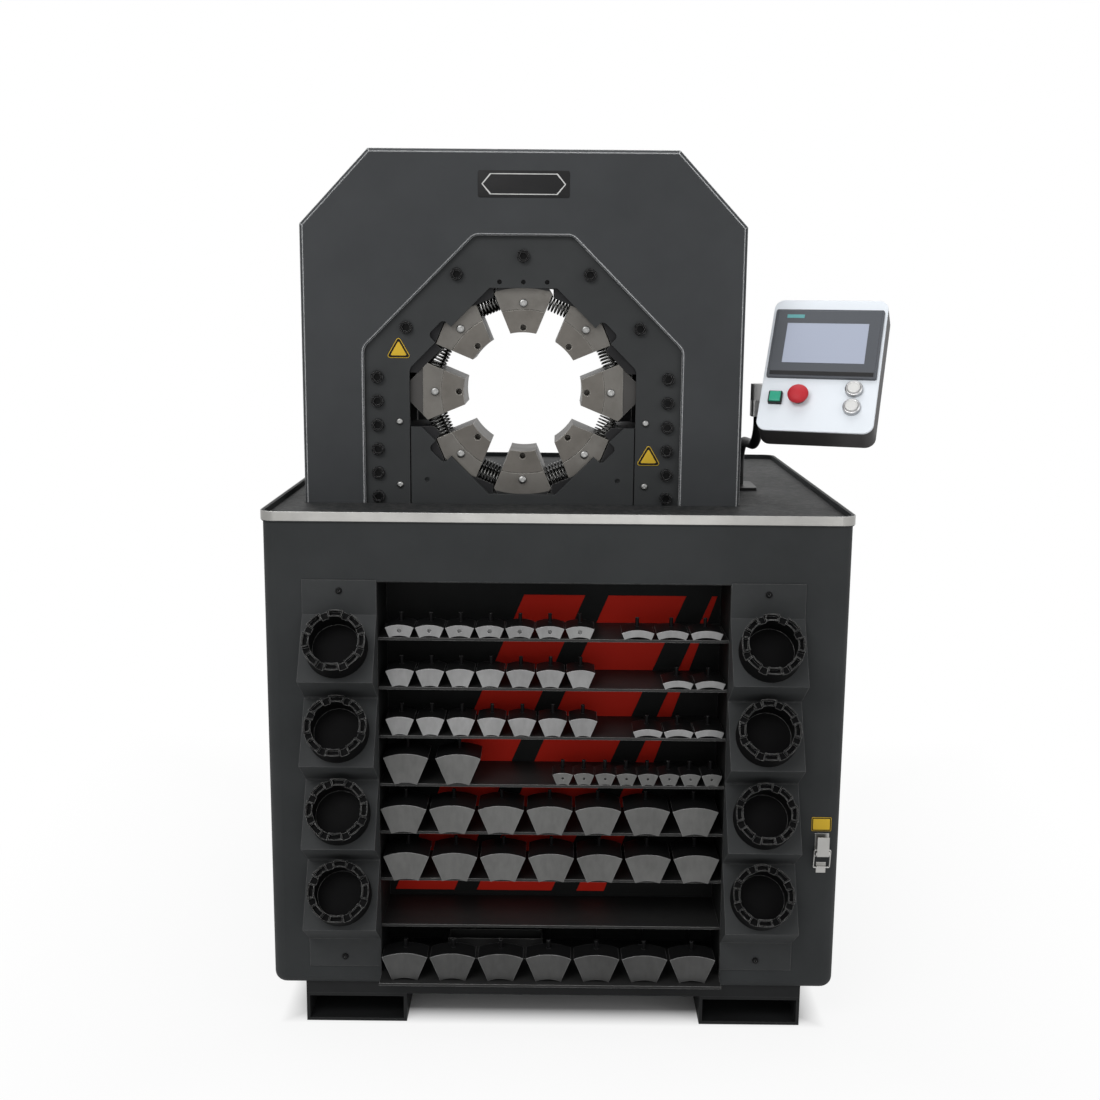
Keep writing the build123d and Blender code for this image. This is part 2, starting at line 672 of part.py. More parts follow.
# ---------------------------------------------------------------- hood
def hood_outline(inset):
    """The hood's front outline, drawn in by a wall, down to the tray."""
    half = HOOD_HALF_WIDTH - inset
    slope_inset = inset * math.tan(math.radians(FAN))
    left = [(-half, HOOD_BASE), (-half, HOOD_CORNER_Z - slope_inset),
            (-HOOD_HALF_TOP + slope_inset, HOOD_TOP_Z - inset)]
    return outline(*both_sides(left))


def mouth_outline():
    """The opening in the hood in front of the dies, with round upper corners."""
    narrow = MOUTH_HALF_WIDTH - (MOUTH_TOP_Z - MOUTH_CORNER_Z)
    left = [(-MOUTH_HALF_WIDTH, HOOD_BASE - 1), (-MOUTH_HALF_WIDTH, MOUTH_CORNER_Z),
            (-narrow, MOUTH_TOP_Z)]
    face = outline(*both_sides(left))
    upper = [v for v in face.vertices() if v.Y > HOOD_BASE]
    return fillet(upper, MOUTH_CORNER_R)


def hood():
    """The sheet hood: a thick front with bevelled edges, a wrap and a rear wall with a round bore."""
    body = head_slab(hood_outline(0), HOOD_FRONT, HOOD_DEPTH)
    front_edges = body.edges().group_by(Axis.Y)[0]
    bevelled = [edge for edge in front_edges if edge.center().Z > TRAY_FLOOR_TOP + 1]
    body = chamfer(bevelled, HOOD_BEVEL)
    hollow = head_slab(hood_outline(HOOD_SHEET), HOOD_FRONT + HOOD_FRONT_SHEET,
                       HOOD_DEPTH - HOOD_FRONT_SHEET - HOOD_SHEET)
    body -= hollow
    body -= head_slab(mouth_outline(), HOOD_FRONT - 1, HOOD_FRONT_SHEET + 2)
    body -= head_slab(Circle(HOOD_REAR_BORE_R), HOOD_FRONT + HOOD_DEPTH - HOOD_SHEET - 1, HOOD_SHEET + 2)
    lip = HOOD_BEVEL / 2
    flare = Plane(origin=(0, HOOD_FRONT, 0), x_dir=(1, 0, 0), z_dir=(0, -1, 0))
    cutter = extrude(flare * offset(mouth_outline(), lip), amount=-lip, taper=45)
    body -= Pos(HEAD_X, 0, HEAD_Z) * cutter
    keep("hood", body)


# ---------------------------------------------------------------- press frame, yoke and plates
def slide_corner(gap):
    """The left-hand cavity points around a diagonal die and down a side die's slide face."""
    diagonal = DIAGONAL_SLIDE + gap
    end = DIAGONAL_END + END_GAP
    side = SIDE_SLIDE + gap
    near_diagonal = (diagonal - SEAT_RELIEF_HALF_WIDTH * math.sin(math.radians(FAN)))
    relief = (-SEAT_RELIEF_HALF_WIDTH, near_diagonal / math.cos(math.radians(FAN)))
    outer = polar(90 + FAN, diagonal, end / math.cos(math.radians(45)) - diagonal)
    far = NOTCH_FAR + END_GAP
    climb = (end - far * math.sin(math.radians(FAN))) / math.cos(math.radians(FAN))
    return [relief, outer, polar(135, climb, far), polar(135, side, far)]


def cavity(horn, reach, floor):
    """The half of the die cavity above the axis, open below, with its horns ending at a height."""
    side = (SIDE_SLIDE + SLIDE_GAP) * math.sqrt(2)
    left = [(-SEAT_HALF_WIDTH, SEAT_RADIUS), (-SEAT_HALF_WIDTH, SEAT_SHOULDER),
            (-SEAT_RELIEF_HALF_WIDTH, SEAT_SHOULDER)]
    left += slide_corner(SLIDE_GAP)
    left += [(horn - side, horn), (-reach, horn), (-reach, floor)]
    return outline(*both_sides(left))


def window_points():
    """The left half of the window above the axis: flat, slant and the notch beside the slant."""
    flat_end = WINDOW_SLANT * math.sqrt(2) - WINDOW_FLAT
    return [(-flat_end, WINDOW_FLAT), polar(135, WINDOW_SLANT, NOTCH_NEAR),
            polar(135, WINDOW_SLANT + NOTCH_DEPTH, NOTCH_NEAR),
            polar(135, WINDOW_SLANT + NOTCH_DEPTH, NOTCH_FAR),
            polar(135, WINDOW_SLANT, NOTCH_FAR)]


def round_notches(face):
    """Round the outer corners of the four notches in a window face."""
    corners = [v for v in face.vertices()
               if abs(math.hypot(v.X, v.Y) - notch_corner_radius(v)) < 0.5 and abs(v.Y) > 90]
    return fillet(corners, NOTCH_R) if corners else face


def notch_corner_radius(vertex):
    """The distance from the axis to the notch corner nearest to a vertex."""
    reach = WINDOW_SLANT + NOTCH_DEPTH
    return min((math.hypot(reach, across) for across in (NOTCH_NEAR, NOTCH_FAR)),
               key=lambda radius: abs(radius - math.hypot(vertex.X, vertex.Y)))


def spring_room(ray, y):
    """The room a return spring needs around it, along the gap normal of a ray."""
    reach = HALF_GAP + SPRING_POCKET_DEPTH
    x, z = polar(ray, SPRING_RADIUS, -reach)
    across_x, across_z = polar(ray, 0, 1)
    room = rod((x, y, z), (across_x, 0, across_z), SPRING_D / 2 + 1, 2 * reach)
    return Pos(HEAD_X, 0, HEAD_Z) * room


def spring_rays():
    """The angles of the eight gaps between the dies."""
    return [FAN + index * 2 * FAN for index in range(DIE_COUNT)]


def press_frame():
    """The closed press frame: upper die seat, two columns and the beam under the cylinder."""
    top_flat = FRAME_HALF_WIDTH - FRAME_CHAMFER
    left = [(-FRAME_HALF_WIDTH, FRAME_BOTTOM), (-FRAME_HALF_WIDTH, FRAME_TOP - FRAME_CHAMFER),
            (-top_flat, FRAME_TOP)]
    frame = head_slab(outline(*both_sides(left)), FRAME_FRONT, FRAME_DEPTH)
    frame -= head_slab(cavity(HORN_HIGH, FRAME_INNER, CROSSHEAD_Z), FRAME_FRONT - 1, FRAME_DEPTH + 2)
    for ray in spring_rays():
        for y in spring_depths():
            frame -= spring_room(ray, y)
    keep("press_frame", frame)


def lower_yoke():
    """The moving yoke: the die seats of the lower half on a deep base."""
    height = YOKE_BASE + HORN_LOW
    body = Pos(0, HORN_LOW - height / 2) * Rectangle(2 * YOKE_HALF_WIDTH, height)
    upper = cavity(-HORN_LOW, YOKE_HALF_WIDTH + 1, 0)
    yoke = head_slab(body, FRAME_FRONT, FRAME_DEPTH)
    flipped = Pos(HEAD_X, 0, HEAD_Z) * mirror(slab(upper, FRAME_FRONT - 1, FRAME_DEPTH + 2), Plane.XY)
    yoke -= flipped
    for ray in spring_rays():
        for y in spring_depths():
            yoke -= spring_room(ray, y)
    keep("lower_yoke", yoke)


def upper_window():
    """The hole in a fixed plate: the upper window, the side recesses and the yoke's channel."""
    channel = YOKE_PLATE_HALF_WIDTH + YOKE_PLATE_GAP
    corner = polar(135, WINDOW_SLANT, NOTCH_FAR)
    recess_z = corner[1] - (channel + corner[0])
    left = window_points() + [(-channel, recess_z), (-channel, HOOD_BASE - STROKE)]
    face = round_notches(outline(*both_sides(left)))
    elbows = [v for v in face.vertices() if abs(v.Y - recess_z) < 0.5]
    return fillet(elbows, RECESS_R)


def guide_plates():
    """The front and rear plates that keep the dies in, fixed to the press frame."""
    top_flat = MOUTH_HALF_WIDTH - (MOUTH_TOP_Z - MOUTH_CORNER_Z)
    skirt = PLATE_SKIRT
    left = [(-PLATE_HALF_WIDTH, HOOD_BASE - skirt), (-PLATE_HALF_WIDTH, MOUTH_CORNER_Z + skirt / 2),
            (-top_flat - skirt / 2, MOUTH_TOP_Z + skirt)]
    face = outline(*both_sides(left)) - upper_window()
    for x in (-45, 0, 45):
        face -= Pos(x, WINDOW_FLAT + 11) * Circle(STOP_SCREW_HOLE / 2)
    front = head_slab(face, PLATE_FRONT, PLATE)
    for x, z in cap_screw_places():
        front -= Pos(HEAD_X + x, PLATE_FRONT, HEAD_Z + z) * Rot(90, 0, 0) * Cylinder(
            CAP_SCREW_SHANK_D / 2, 3 * PLATE)
    rear = head_slab(face, FRAME_BACK, PLATE)
    keep("guide_plates", front, rear)


def yoke_plates():
    """The front and rear plates of the moving yoke, with the lower half of the window."""
    left = window_points() + [(-YOKE_PLATE_HALF_WIDTH + YOKE_SHOULDER, -HORN_LOW),
                              (-YOKE_PLATE_HALF_WIDTH, -HORN_LOW),
                              (-YOKE_PLATE_HALF_WIDTH, YOKE_BASE)]
    face = round_notches(outline(*both_sides(left)))
    plates = []
    for front in (PLATE_FRONT, FRAME_BACK):
        plate = mirror(slab(face, front, PLATE), Plane.XY)
        plates.append(Pos(HEAD_X, 0, HEAD_Z) * plate)
    for side in (-1, 1):
        centre = Pos(HEAD_X + side * YOKE_TAP_X, PLATE_FRONT, HEAD_Z - YOKE_TAP_DROP)
        plates[0] -= centre * Rot(90, 0, 0) * Cylinder(YOKE_TAP_D / 2, PLATE)
    keep("yoke_plates", *plates)


def cylinder_and_ram():
    """The press cylinder on the frame's beam, and its ram under the yoke."""
    def upright(radius, low, high):
        return rod((HEAD_X, FRAME_MIDDLE, HEAD_Z + low), (0, 0, 1), radius, high - low)

    bore_r = CYLINDER_D / 2 - CYLINDER_WALL
    bore_floor = CROSSHEAD_Z + CYLINDER_FLOOR
    gland = CYLINDER_TOP_Z - CYLINDER_FLOOR
    barrel = upright(CYLINDER_D / 2, CROSSHEAD_Z, CYLINDER_TOP_Z)
    barrel -= upright(bore_r, bore_floor, gland)
    barrel -= upright(RAM_D / 2 + RAM_CLEARANCE, gland - 1, CYLINDER_TOP_Z + 1)
    keep("cylinder", barrel)
    ram = upright(RAM_D / 2, bore_floor, -YOKE_BASE)
    ram += upright(bore_r - RAM_CLEARANCE, bore_floor, bore_floor + CYLINDER_PISTON)
    keep("ram", ram)


# ---------------------------------------------------------------- dies
def wedge_side(u):
    """Half the width of a die at a distance along its own direction."""
    angle = math.radians(FAN)
    return u * math.tan(angle) - HALF_GAP / math.cos(angle)


def top_master_face():
    """The outline of the top master die, which is seated in the frame."""
    inner = OPEN_RADIUS
    edge = SEAT_SHOULDER - DIE_GAP / 4
    left = [(-wedge_side(inner), inner), (-wedge_side(edge), edge), (-SEAT_HALF_WIDTH, SEAT_SHOULDER),
            (-SEAT_HALF_WIDTH, SEAT_RADIUS)]
    return outline(*both_sides(left))


def diagonal_master_face():
    """The outline of the upper left master die, with its slide face and its end face."""
    inner = OPEN_RADIUS
    slide_end = DIAGONAL_END / math.cos(math.radians(45)) - DIAGONAL_SLIDE
    points = [polar(90 + FAN, inner, HALF_GAP), polar(90 + FAN, DIAGONAL_SLIDE, HALF_GAP),
              polar(90 + FAN, DIAGONAL_SLIDE, slide_end),
              polar(180 - FAN, DIAGONAL_END, -HALF_GAP), polar(180 - FAN, inner, -HALF_GAP)]
    return outline(*points)


def side_master_face():
    """The outline of the left master die, whose nose has a slide face above and below."""
    inner = OPEN_RADIUS
    along = (SIDE_SLIDE + HALF_GAP * math.sin(math.radians(FAN))) / math.cos(math.radians(FAN))
    nose = SIDE_SLIDE * math.sqrt(2) - SIDE_NOSE
    upper = [polar(180 - FAN, inner, HALF_GAP), polar(180 - FAN, along, HALF_GAP), (-SIDE_NOSE, nose)]
    return outline(*(upper + mirrored(upper, across_z=True)[::-1]))


def insert_face():
    """The outline of a top insert, between the crimping arc and the master's arc."""
    reach = 1.5 * INSERT_RADIUS
    left = [(-wedge_side(OPEN_RADIUS * 0.8), OPEN_RADIUS * 0.8), (-wedge_side(reach), reach)]
    return outline(*both_sides(left)) & (Circle(INSERT_RADIUS) - Circle(OPEN_RADIUS))


def hex_bolt(angle):
    """The hexagon head that holds a master die's retaining pin, on the die's front face."""
    x, z = polar(angle, MASTER_BOLT_RADIUS)
    head = RegularPolygon(MASTER_BOLT_FLATS / 2, 6, major_radius=False)
    return slab(Pos(x, z) * Rot(0, 0, angle) * head, DIE_FRONT - MASTER_BOLT_HEAD, MASTER_BOLT_HEAD)


def spring_places(angle):
    """The ends of the two gap lines beside a die: (x, z) on its side, and the way into the die."""
    places = []
    for side in (-1, 1):
        ray = angle + side * FAN
        point = polar(ray, SPRING_RADIUS, -side * HALF_GAP)
        inward = polar(ray, 0, -side)
        places.append((point, inward))
    return places


def spring_depths():
    """The two planes along the dies in which the springs lie."""
    return (DIE_FRONT + SPRING_INSET, DIE_FRONT + DIE_LENGTH - SPRING_INSET)


def master_die(number, face, angle):
    """One master die in place: its blank, its spring pockets and its bolt."""
    blank = slab(face - Circle(INSERT_RADIUS), DIE_FRONT, DIE_LENGTH)
    for (x, z), (dx, dz) in spring_places(angle):
        for y in spring_depths():
            start = (x - dx, y, z - dz)
            blank -= rod(start, (dx, 0, dz), SPRING_POCKET_D / 2, SPRING_POCKET_DEPTH + 1)
    if angle % 180 == 0:
        side = math.cos(math.radians(angle))
        x_range = sorted((side * SIDE_FACE, side * (SIDE_NOSE + 1)))
        blank -= brick(x_range, (DIE_FRONT - 1, DIE_FRONT + SIDE_STEP), (-SEAT_RADIUS, SEAT_RADIUS))
    place = Pos(HEAD_X, 0, HEAD_Z)
    largest = break_arc(solids_of(blank)[0])
    keep(f"master_die_{number}", place * largest, place * hex_bolt(angle))


def break_arc(body):
    """Break the front edge along the arc where a master die and its insert meet."""
    front = body.edges().group_by(Axis.Y)[0].filter_by(GeomType.CIRCLE)
    return chamfer([edge for edge in front if abs(edge.radius - INSERT_RADIUS) < 0.1], ARC_GROOVE)


def die_insert(number, angle):
    """One insert in place, with the countersunk blind hole of its retaining screw."""
    body = break_arc(slab(Rot(0, 0, angle - 90) * insert_face(), DIE_FRONT, DIE_LENGTH))
    x, z = polar(angle, INSERT_HOLE_RADIUS)
    body -= rod((x, DIE_FRONT - 1, z), (0, 1, 0), INSERT_HOLE_D / 2, INSERT_HOLE_DEPTH + 1)
    rim = [edge for edge in body.edges().group_by(Axis.Y)[0].filter_by(GeomType.CIRCLE)
           if abs(edge.radius - INSERT_HOLE_D / 2) < 0.1]
    body = chamfer(rim, INSERT_HOLE_SINK)
    keep(f"die_insert_{number}", Pos(HEAD_X, 0, HEAD_Z) * body)


def dies():
    """All eight master dies and inserts, numbered clockwise from the top."""
    for index in range(DIE_COUNT):
        angle = 90 - index * 2 * FAN
        ax, az = heading(angle)
        level = abs(az) < 0.1
        upright = abs(ax) < 0.1
        face = side_master_face() if level else top_master_face() if upright else diagonal_master_face()
        if ax > 0.1:
            face = mirror(face, Plane.YZ)
        if az < -0.1:
            face = mirror(face, Plane.XZ)
        master_die(index + 1, face, angle % 360)
        die_insert(index + 1, angle)


def return_spring(ray, y):
    """One coil spring across the gap on a ray, seated in the pockets of both dies."""
    half = HALF_GAP + SPRING_POCKET_DEPTH
    axis_x, axis_z = polar(ray, 0, 1)
    centre_x, centre_z = polar(ray, SPRING_RADIUS)
    reach = half - SPRING_WIRE / 2
    coil_r = (SPRING_D - SPRING_WIRE) / 2
    path = Helix(pitch=2 * reach / SPRING_TURNS, height=2 * reach, radius=coil_r)
    section = Plane(origin=path @ 0, z_dir=path % 0) * Circle(SPRING_WIRE / 2)
    coil = sweep(section, path=path)
    start = (centre_x - axis_x * reach, y, centre_z - axis_z * reach)
    frame = Plane(origin=start, x_dir=(0, 1, 0), z_dir=(axis_x, 0, axis_z))
    return Pos(HEAD_X, 0, HEAD_Z) * (frame.location * coil)


def return_springs():
    """The springs in the eight gaps, grouped by the die that carries them."""
    carriers = {"springs_top": (90 - FAN, 90 + FAN), "springs_right": (-FAN, FAN),
                "springs_bottom": (270 - FAN, 270 + FAN), "springs_left": (180 - FAN, 180 + FAN)}
    for name, rays in carriers.items():
        keep(name, *[return_spring(ray, y) for ray in rays for y in spring_depths()])


# ---------------------------------------------------------------- screws and label plates
def cap_screw_places():
    """The socket screws of the front plate, as (x, z) about the crimping axis."""
    places = [(0, 256)]
    for side in (-1, 1):
        places += [(side * 126, 222), (side * 222, 122)]
        places += [(side * SCREW_COLUMN_X, SCREW_COLUMN_TOP - row * SCREW_COLUMN_PITCH)
                   for row in range(SCREW_COLUMN_COUNT)]
    return places


def cap_screw(x, z):
    """A socket cap screw with its head against the front plate."""
    head = rod((x, PLATE_FRONT, z), (0, -1, 0), CAP_SCREW_HEAD_D / 2, CAP_SCREW_HEAD)
    head = chamfer(head.edges().group_by(Axis.Y)[0], 1.5)
    socket = RegularPolygon(CAP_SCREW_SOCKET / 2, 6, major_radius=False)
    head -= slab(Pos(x, z) * socket, PLATE_FRONT - CAP_SCREW_HEAD - 1, CAP_SCREW_HEAD * 0.8 + 1)
    return head + rod((x, PLATE_FRONT, z), (0, 1, 0), CAP_SCREW_SHANK_D / 2, PLATE)


def button_screw(x, y, z):
    """A small round-headed screw whose head stands on the plane Y = y."""
    head = rod((x, y, z), (0, -1, 0), BUTTON_SCREW_D / 2, BUTTON_SCREW_HEAD)
    head = fillet(head.edges().group_by(Axis.Y)[0], BUTTON_SCREW_HEAD * 0.6)
    return head - rod((x, y - BUTTON_SCREW_HEAD - 1, z), (0, 1, 0), BUTTON_SCREW_D / 6, 3)


def screws():
    """Every black screw on the front of the machine."""
    screws_in_place = [cap_screw(HEAD_X + x, HEAD_Z + z) for x, z in cap_screw_places()]
    small = [(side * 236, z) for side in (-1, 1) for z in (-57, -179)]
    screws_in_place += [button_screw(HEAD_X + x, PLATE_FRONT, HEAD_Z + z) for x, z in small]
    screws_in_place += [button_screw(x, FRONT - MAGAZINE_SHEET, z) for x, z in panel_screw_places()]
    keep("front_screws", *screws_in_place)


def label_plates():
    """The bare plates on the head, the hood and the cabinet."""
    thickness = 1.0
    hood_plate = head_slab(Pos(0, 386.5) * RectangleRounded(171, 49, 4), HOOD_FRONT - thickness, thickness)
    left = head_slab(Pos(-237, 78) * RectangleRounded(38, 38, 6), PLATE_FRONT - thickness, thickness)
    right = head_slab(Pos(243, -124) * RectangleRounded(38, 38, 6), PLATE_FRONT - thickness, thickness)
    latch_label = slab(Pos(LATCH_X - 2, LATCH_TOP + 18) * RectangleRounded(37, 27, 2),
                       FRONT - thickness, thickness)
    keep("label_plates", hood_plate, left, right, latch_label)


# ---------------------------------------------------------------- power unit
def power_unit():
    """The oil tank, the motor with its pump and the valve block, behind the press frame."""
    floor_z = CABINET_BOTTOM + CABINET_SHEET
    tank_y = REAR - 60 - TANK_DEPTH
    tank_x = (-TANK_WIDTH / 2, TANK_WIDTH / 2)
    tank = brick(tank_x, (tank_y, tank_y + TANK_DEPTH), (floor_z, floor_z + TANK_HEIGHT))
    wall = TANK_WALL
    tank -= brick((tank_x[0] + wall, tank_x[1] - wall), (tank_y + wall, tank_y + TANK_DEPTH - wall),
                  (floor_z + wall, floor_z + TANK_HEIGHT - wall))
    middle_y = tank_y + TANK_DEPTH / 2
    top = floor_z + TANK_HEIGHT
    bell_x = 60.0
    tank -= Pos(bell_x, middle_y, top) * Cylinder(PUMP_D / 2, 3 * wall)
    keep("oil_tank", tank)
    motor = rod((bell_x, middle_y, top), (0, 0, 1), MOTOR_D / 2, MOTOR_LENGTH)
    pump = rod((bell_x, middle_y, top), (0, 0, -1), PUMP_D / 2 - 1, PUMP_LENGTH)
    block_x = bell_x - MOTOR_D / 2 - VALVE_BLOCK[0] - 40
    block = brick((block_x, block_x + VALVE_BLOCK[0]),
                  (middle_y - VALVE_BLOCK[1] / 2, middle_y + VALVE_BLOCK[1] / 2),
                  (top, top + VALVE_BLOCK[2]))
    solenoid_y = middle_y + VALVE_BLOCK[1] / 2
    solenoids = [rod((block_x + VALVE_BLOCK[0] * share, solenoid_y, top + VALVE_BLOCK[2] / 2),
                     (0, 1, 0), 16, 55) for share in (0.28, 0.72)]
    keep("power_pack", motor, pump, block, *solenoids)


# ---------------------------------------------------------------- operator panel
def panel_plane():
    """The plane of the panel's face: origin at its lower left corner, X right, Y up, Z outwards."""
    yaw = math.radians(PANEL_YAW)
    tilt = math.radians(PANEL_TILT)
    right = Vector(math.cos(yaw), math.sin(yaw), 0)
    up = Vector(-math.sin(tilt) * math.sin(yaw), math.sin(tilt) * math.cos(yaw), math.cos(tilt))
    outward = right.cross(up)
    pin = Vector(*SWIVEL_XY, SWIVEL_Z + KNUCKLE / 2) + right * ARM_LENGTH
    origin = pin - right * EAR_U - up * EAR_V + outward * (HOUSING_DEPTH + EAR_STAND)
    return Plane(origin=origin, x_dir=right, z_dir=outward)


def tilt_frame():
    """The plane at the middle of the tilt pin, with Z along the pin and X out of the panel."""
    plane = panel_plane()
    centre = plane.origin + plane.x_dir * EAR_U + plane.y_dir * EAR_V
    centre = centre - plane.z_dir * (HOUSING_DEPTH + EAR_STAND)
    return Plane(origin=centre, x_dir=plane.z_dir, z_dir=plane.x_dir)


def swivel_post():
    """The bent tube on its foot, and the fixed knuckle on its top."""
    foot_x, foot_y = POST_FOOT_XY
    foot = Pos(foot_x, foot_y, TRAY_FLOOR_TOP + POST_FOOT[2] / 2) * Box(*POST_FOOT)
    foot = fillet(foot.edges().filter_by(Axis.Z), 10)
    base_z = TRAY_FLOOR_TOP + POST_FOOT[2]
    top_z = SWIVEL_Z - KNUCKLE
    x, y = SWIVEL_XY
    route = FilletPolyline((foot_x, foot_y, base_z), (foot_x, foot_y, base_z + 95),
                           (x, y, top_z - 60), (x, y, top_z), radius=50)
    section = Plane(origin=route @ 0, z_dir=route % 0) * Circle(POST_D / 2)
    bore = Plane(origin=route @ 0, z_dir=route % 0) * Circle(POST_D / 2 - POST_WALL)
    tube = sweep(section, path=route) - sweep(bore, path=route)
    keep("panel_post", foot + tube)

    knuckle = Pos(x, y, SWIVEL_Z - KNUCKLE / 2) * Box(KNUCKLE, KNUCKLE, KNUCKLE)
    knuckle = fillet(knuckle.edges().filter_by(Axis.Z), 5)
    pin = rod((x, y, SWIVEL_Z - 1), (0, 0, 1), SWIVEL_PIN_D / 2, KNUCKLE * 0.7)
    keep("swivel_base", knuckle + pin)


def swivel_arm():
    """The turning knuckle over the post, with the round shaft that carries the panel's ears."""
    x, y = SWIVEL_XY
    right = panel_plane().x_dir
    level = Plane(origin=(x, y, SWIVEL_Z + KNUCKLE_GAP), x_dir=right, z_dir=(0, 0, 1))
    arm = extrude(level * RectangleRounded(KNUCKLE, KNUCKLE, 9), amount=KNUCKLE)
    reach = ARM_LENGTH + HALF_EYE + EAR_GAP + EAR + 4
    arm += rod((x, y, SWIVEL_Z + KNUCKLE / 2), right, TILT_SHAFT_D / 2, reach)
    arm += extrude(tilt_frame() * Circle(EAR_STAND - 1.5), amount=HALF_EYE, both=True)
    arm -= rod((x, y, SWIVEL_Z - 1), (0, 0, 1), SWIVEL_PIN_D / 2 + PIN_FIT, KNUCKLE * 0.75 + 1)
    keep("swivel_arm", arm)


def panel_slab(corner_r, inset, z_low, z_high):
    """A round-cornered block of the panel's outline, drawn in, between two depths of its face."""
    face = RectangleRounded(PANEL_WIDTH - 2 * inset, PANEL_HEIGHT - 2 * inset, corner_r - inset)
    block = extrude(Pos(PANEL_WIDTH / 2, PANEL_HEIGHT / 2) * face, amount=z_high - z_low)
    return Pos(0, 0, z_low) * block


def on_panel(name, *solids):
    """Store solids drawn in the panel's own frame at the panel's place."""
    place = panel_plane().location
    keep(name, *[place * solid for solid in solids])


def panel_box():
    """The housing with its two ears and the pin between them, and the front plate."""
    housing = panel_slab(PANEL_CORNER_R, 0, -HOUSING_DEPTH, -PANEL_PLATE)
    housing -= panel_slab(PANEL_CORNER_R, HOUSING_WALL, -HOUSING_DEPTH + HOUSING_WALL, -PANEL_PLATE)
    upright = (Align.CENTER, Align.CENTER, Align.MIN)
    for low in (EAR_U - HALF_EYE - EAR_GAP - EAR, EAR_U + HALF_EYE + EAR_GAP):
        housing += brick((low, low + EAR), (EAR_V - EAR_STAND, EAR_V + EAR_STAND),
                         (-HOUSING_DEPTH - EAR_STAND, -HOUSING_DEPTH))
        along = Pos(low, EAR_V, -HOUSING_DEPTH - EAR_STAND) * Rot(0, 90, 0)
        housing += along * Cylinder(EAR_STAND, EAR, align=upright)
        housing -= along * Cylinder(TILT_SHAFT_D / 2 + PIN_FIT, EAR, align=upright)
    on_panel("panel_housing", housing)

    plate = panel_slab(PANEL_CORNER_R, 0, -PANEL_PLATE, 0)
    screen_u = (PANEL_WIDTH - SCREEN_WIDTH) / 2
    cut = SCREEN_PROUD
    plate -= brick((screen_u + cut, screen_u + SCREEN_WIDTH - cut),
                   (SCREEN_ABOVE_BOTTOM + cut, SCREEN_ABOVE_BOTTOM + SCREEN_HEIGHT - cut),
                   (-2 * PANEL_PLATE, PANEL_PLATE))
    for (u, v), size in button_holes():
        plate -= Pos(u, v, 0) * Cylinder(size / 2, 3 * PANEL_PLATE)
    on_panel("panel_front", plate)


def button_holes():
    """Each button's place on the panel and the diameter of its hole."""
    return [(ESTOP_UV, 22.0), (GREEN_UV, 18.0), ((ROUND_U, ROUND_UPPER_V), 22.0),
            ((ROUND_U, ROUND_LOWER_V), 22.0)]


def touch_screen():
    """The screen unit: a bezel in front of the plate and a body through it."""
    u = (PANEL_WIDTH - SCREEN_WIDTH) / 2
    v = SCREEN_ABOVE_BOTTOM
    bezel = extrude(Pos(u + SCREEN_WIDTH / 2, v + SCREEN_HEIGHT / 2) * RectangleRounded(
        SCREEN_WIDTH, SCREEN_HEIGHT, 4), amount=SCREEN_PROUD)
    bezel = chamfer(bezel.edges().group_by(Axis.Z)[-1], 1.0)
    cut = SCREEN_PROUD + 0.5
    body = brick((u + cut, u + SCREEN_WIDTH - cut), (v + cut, v + SCREEN_HEIGHT - cut),
                 (-SCREEN_BODY, 0))
    on_panel("touch_screen", bezel + body)


def plain_collar(centre, outer_d, bore_d, height):
    """A ring on the panel's face around a button."""
    ring = extrude(Circle(outer_d / 2) - Circle(bore_d / 2), amount=height)
    ring = chamfer(ring.edges().group_by(Axis.Z)[-1].sort_by(SortBy.LENGTH)[-1], 1.2)
    return Pos(*centre, 0) * ring


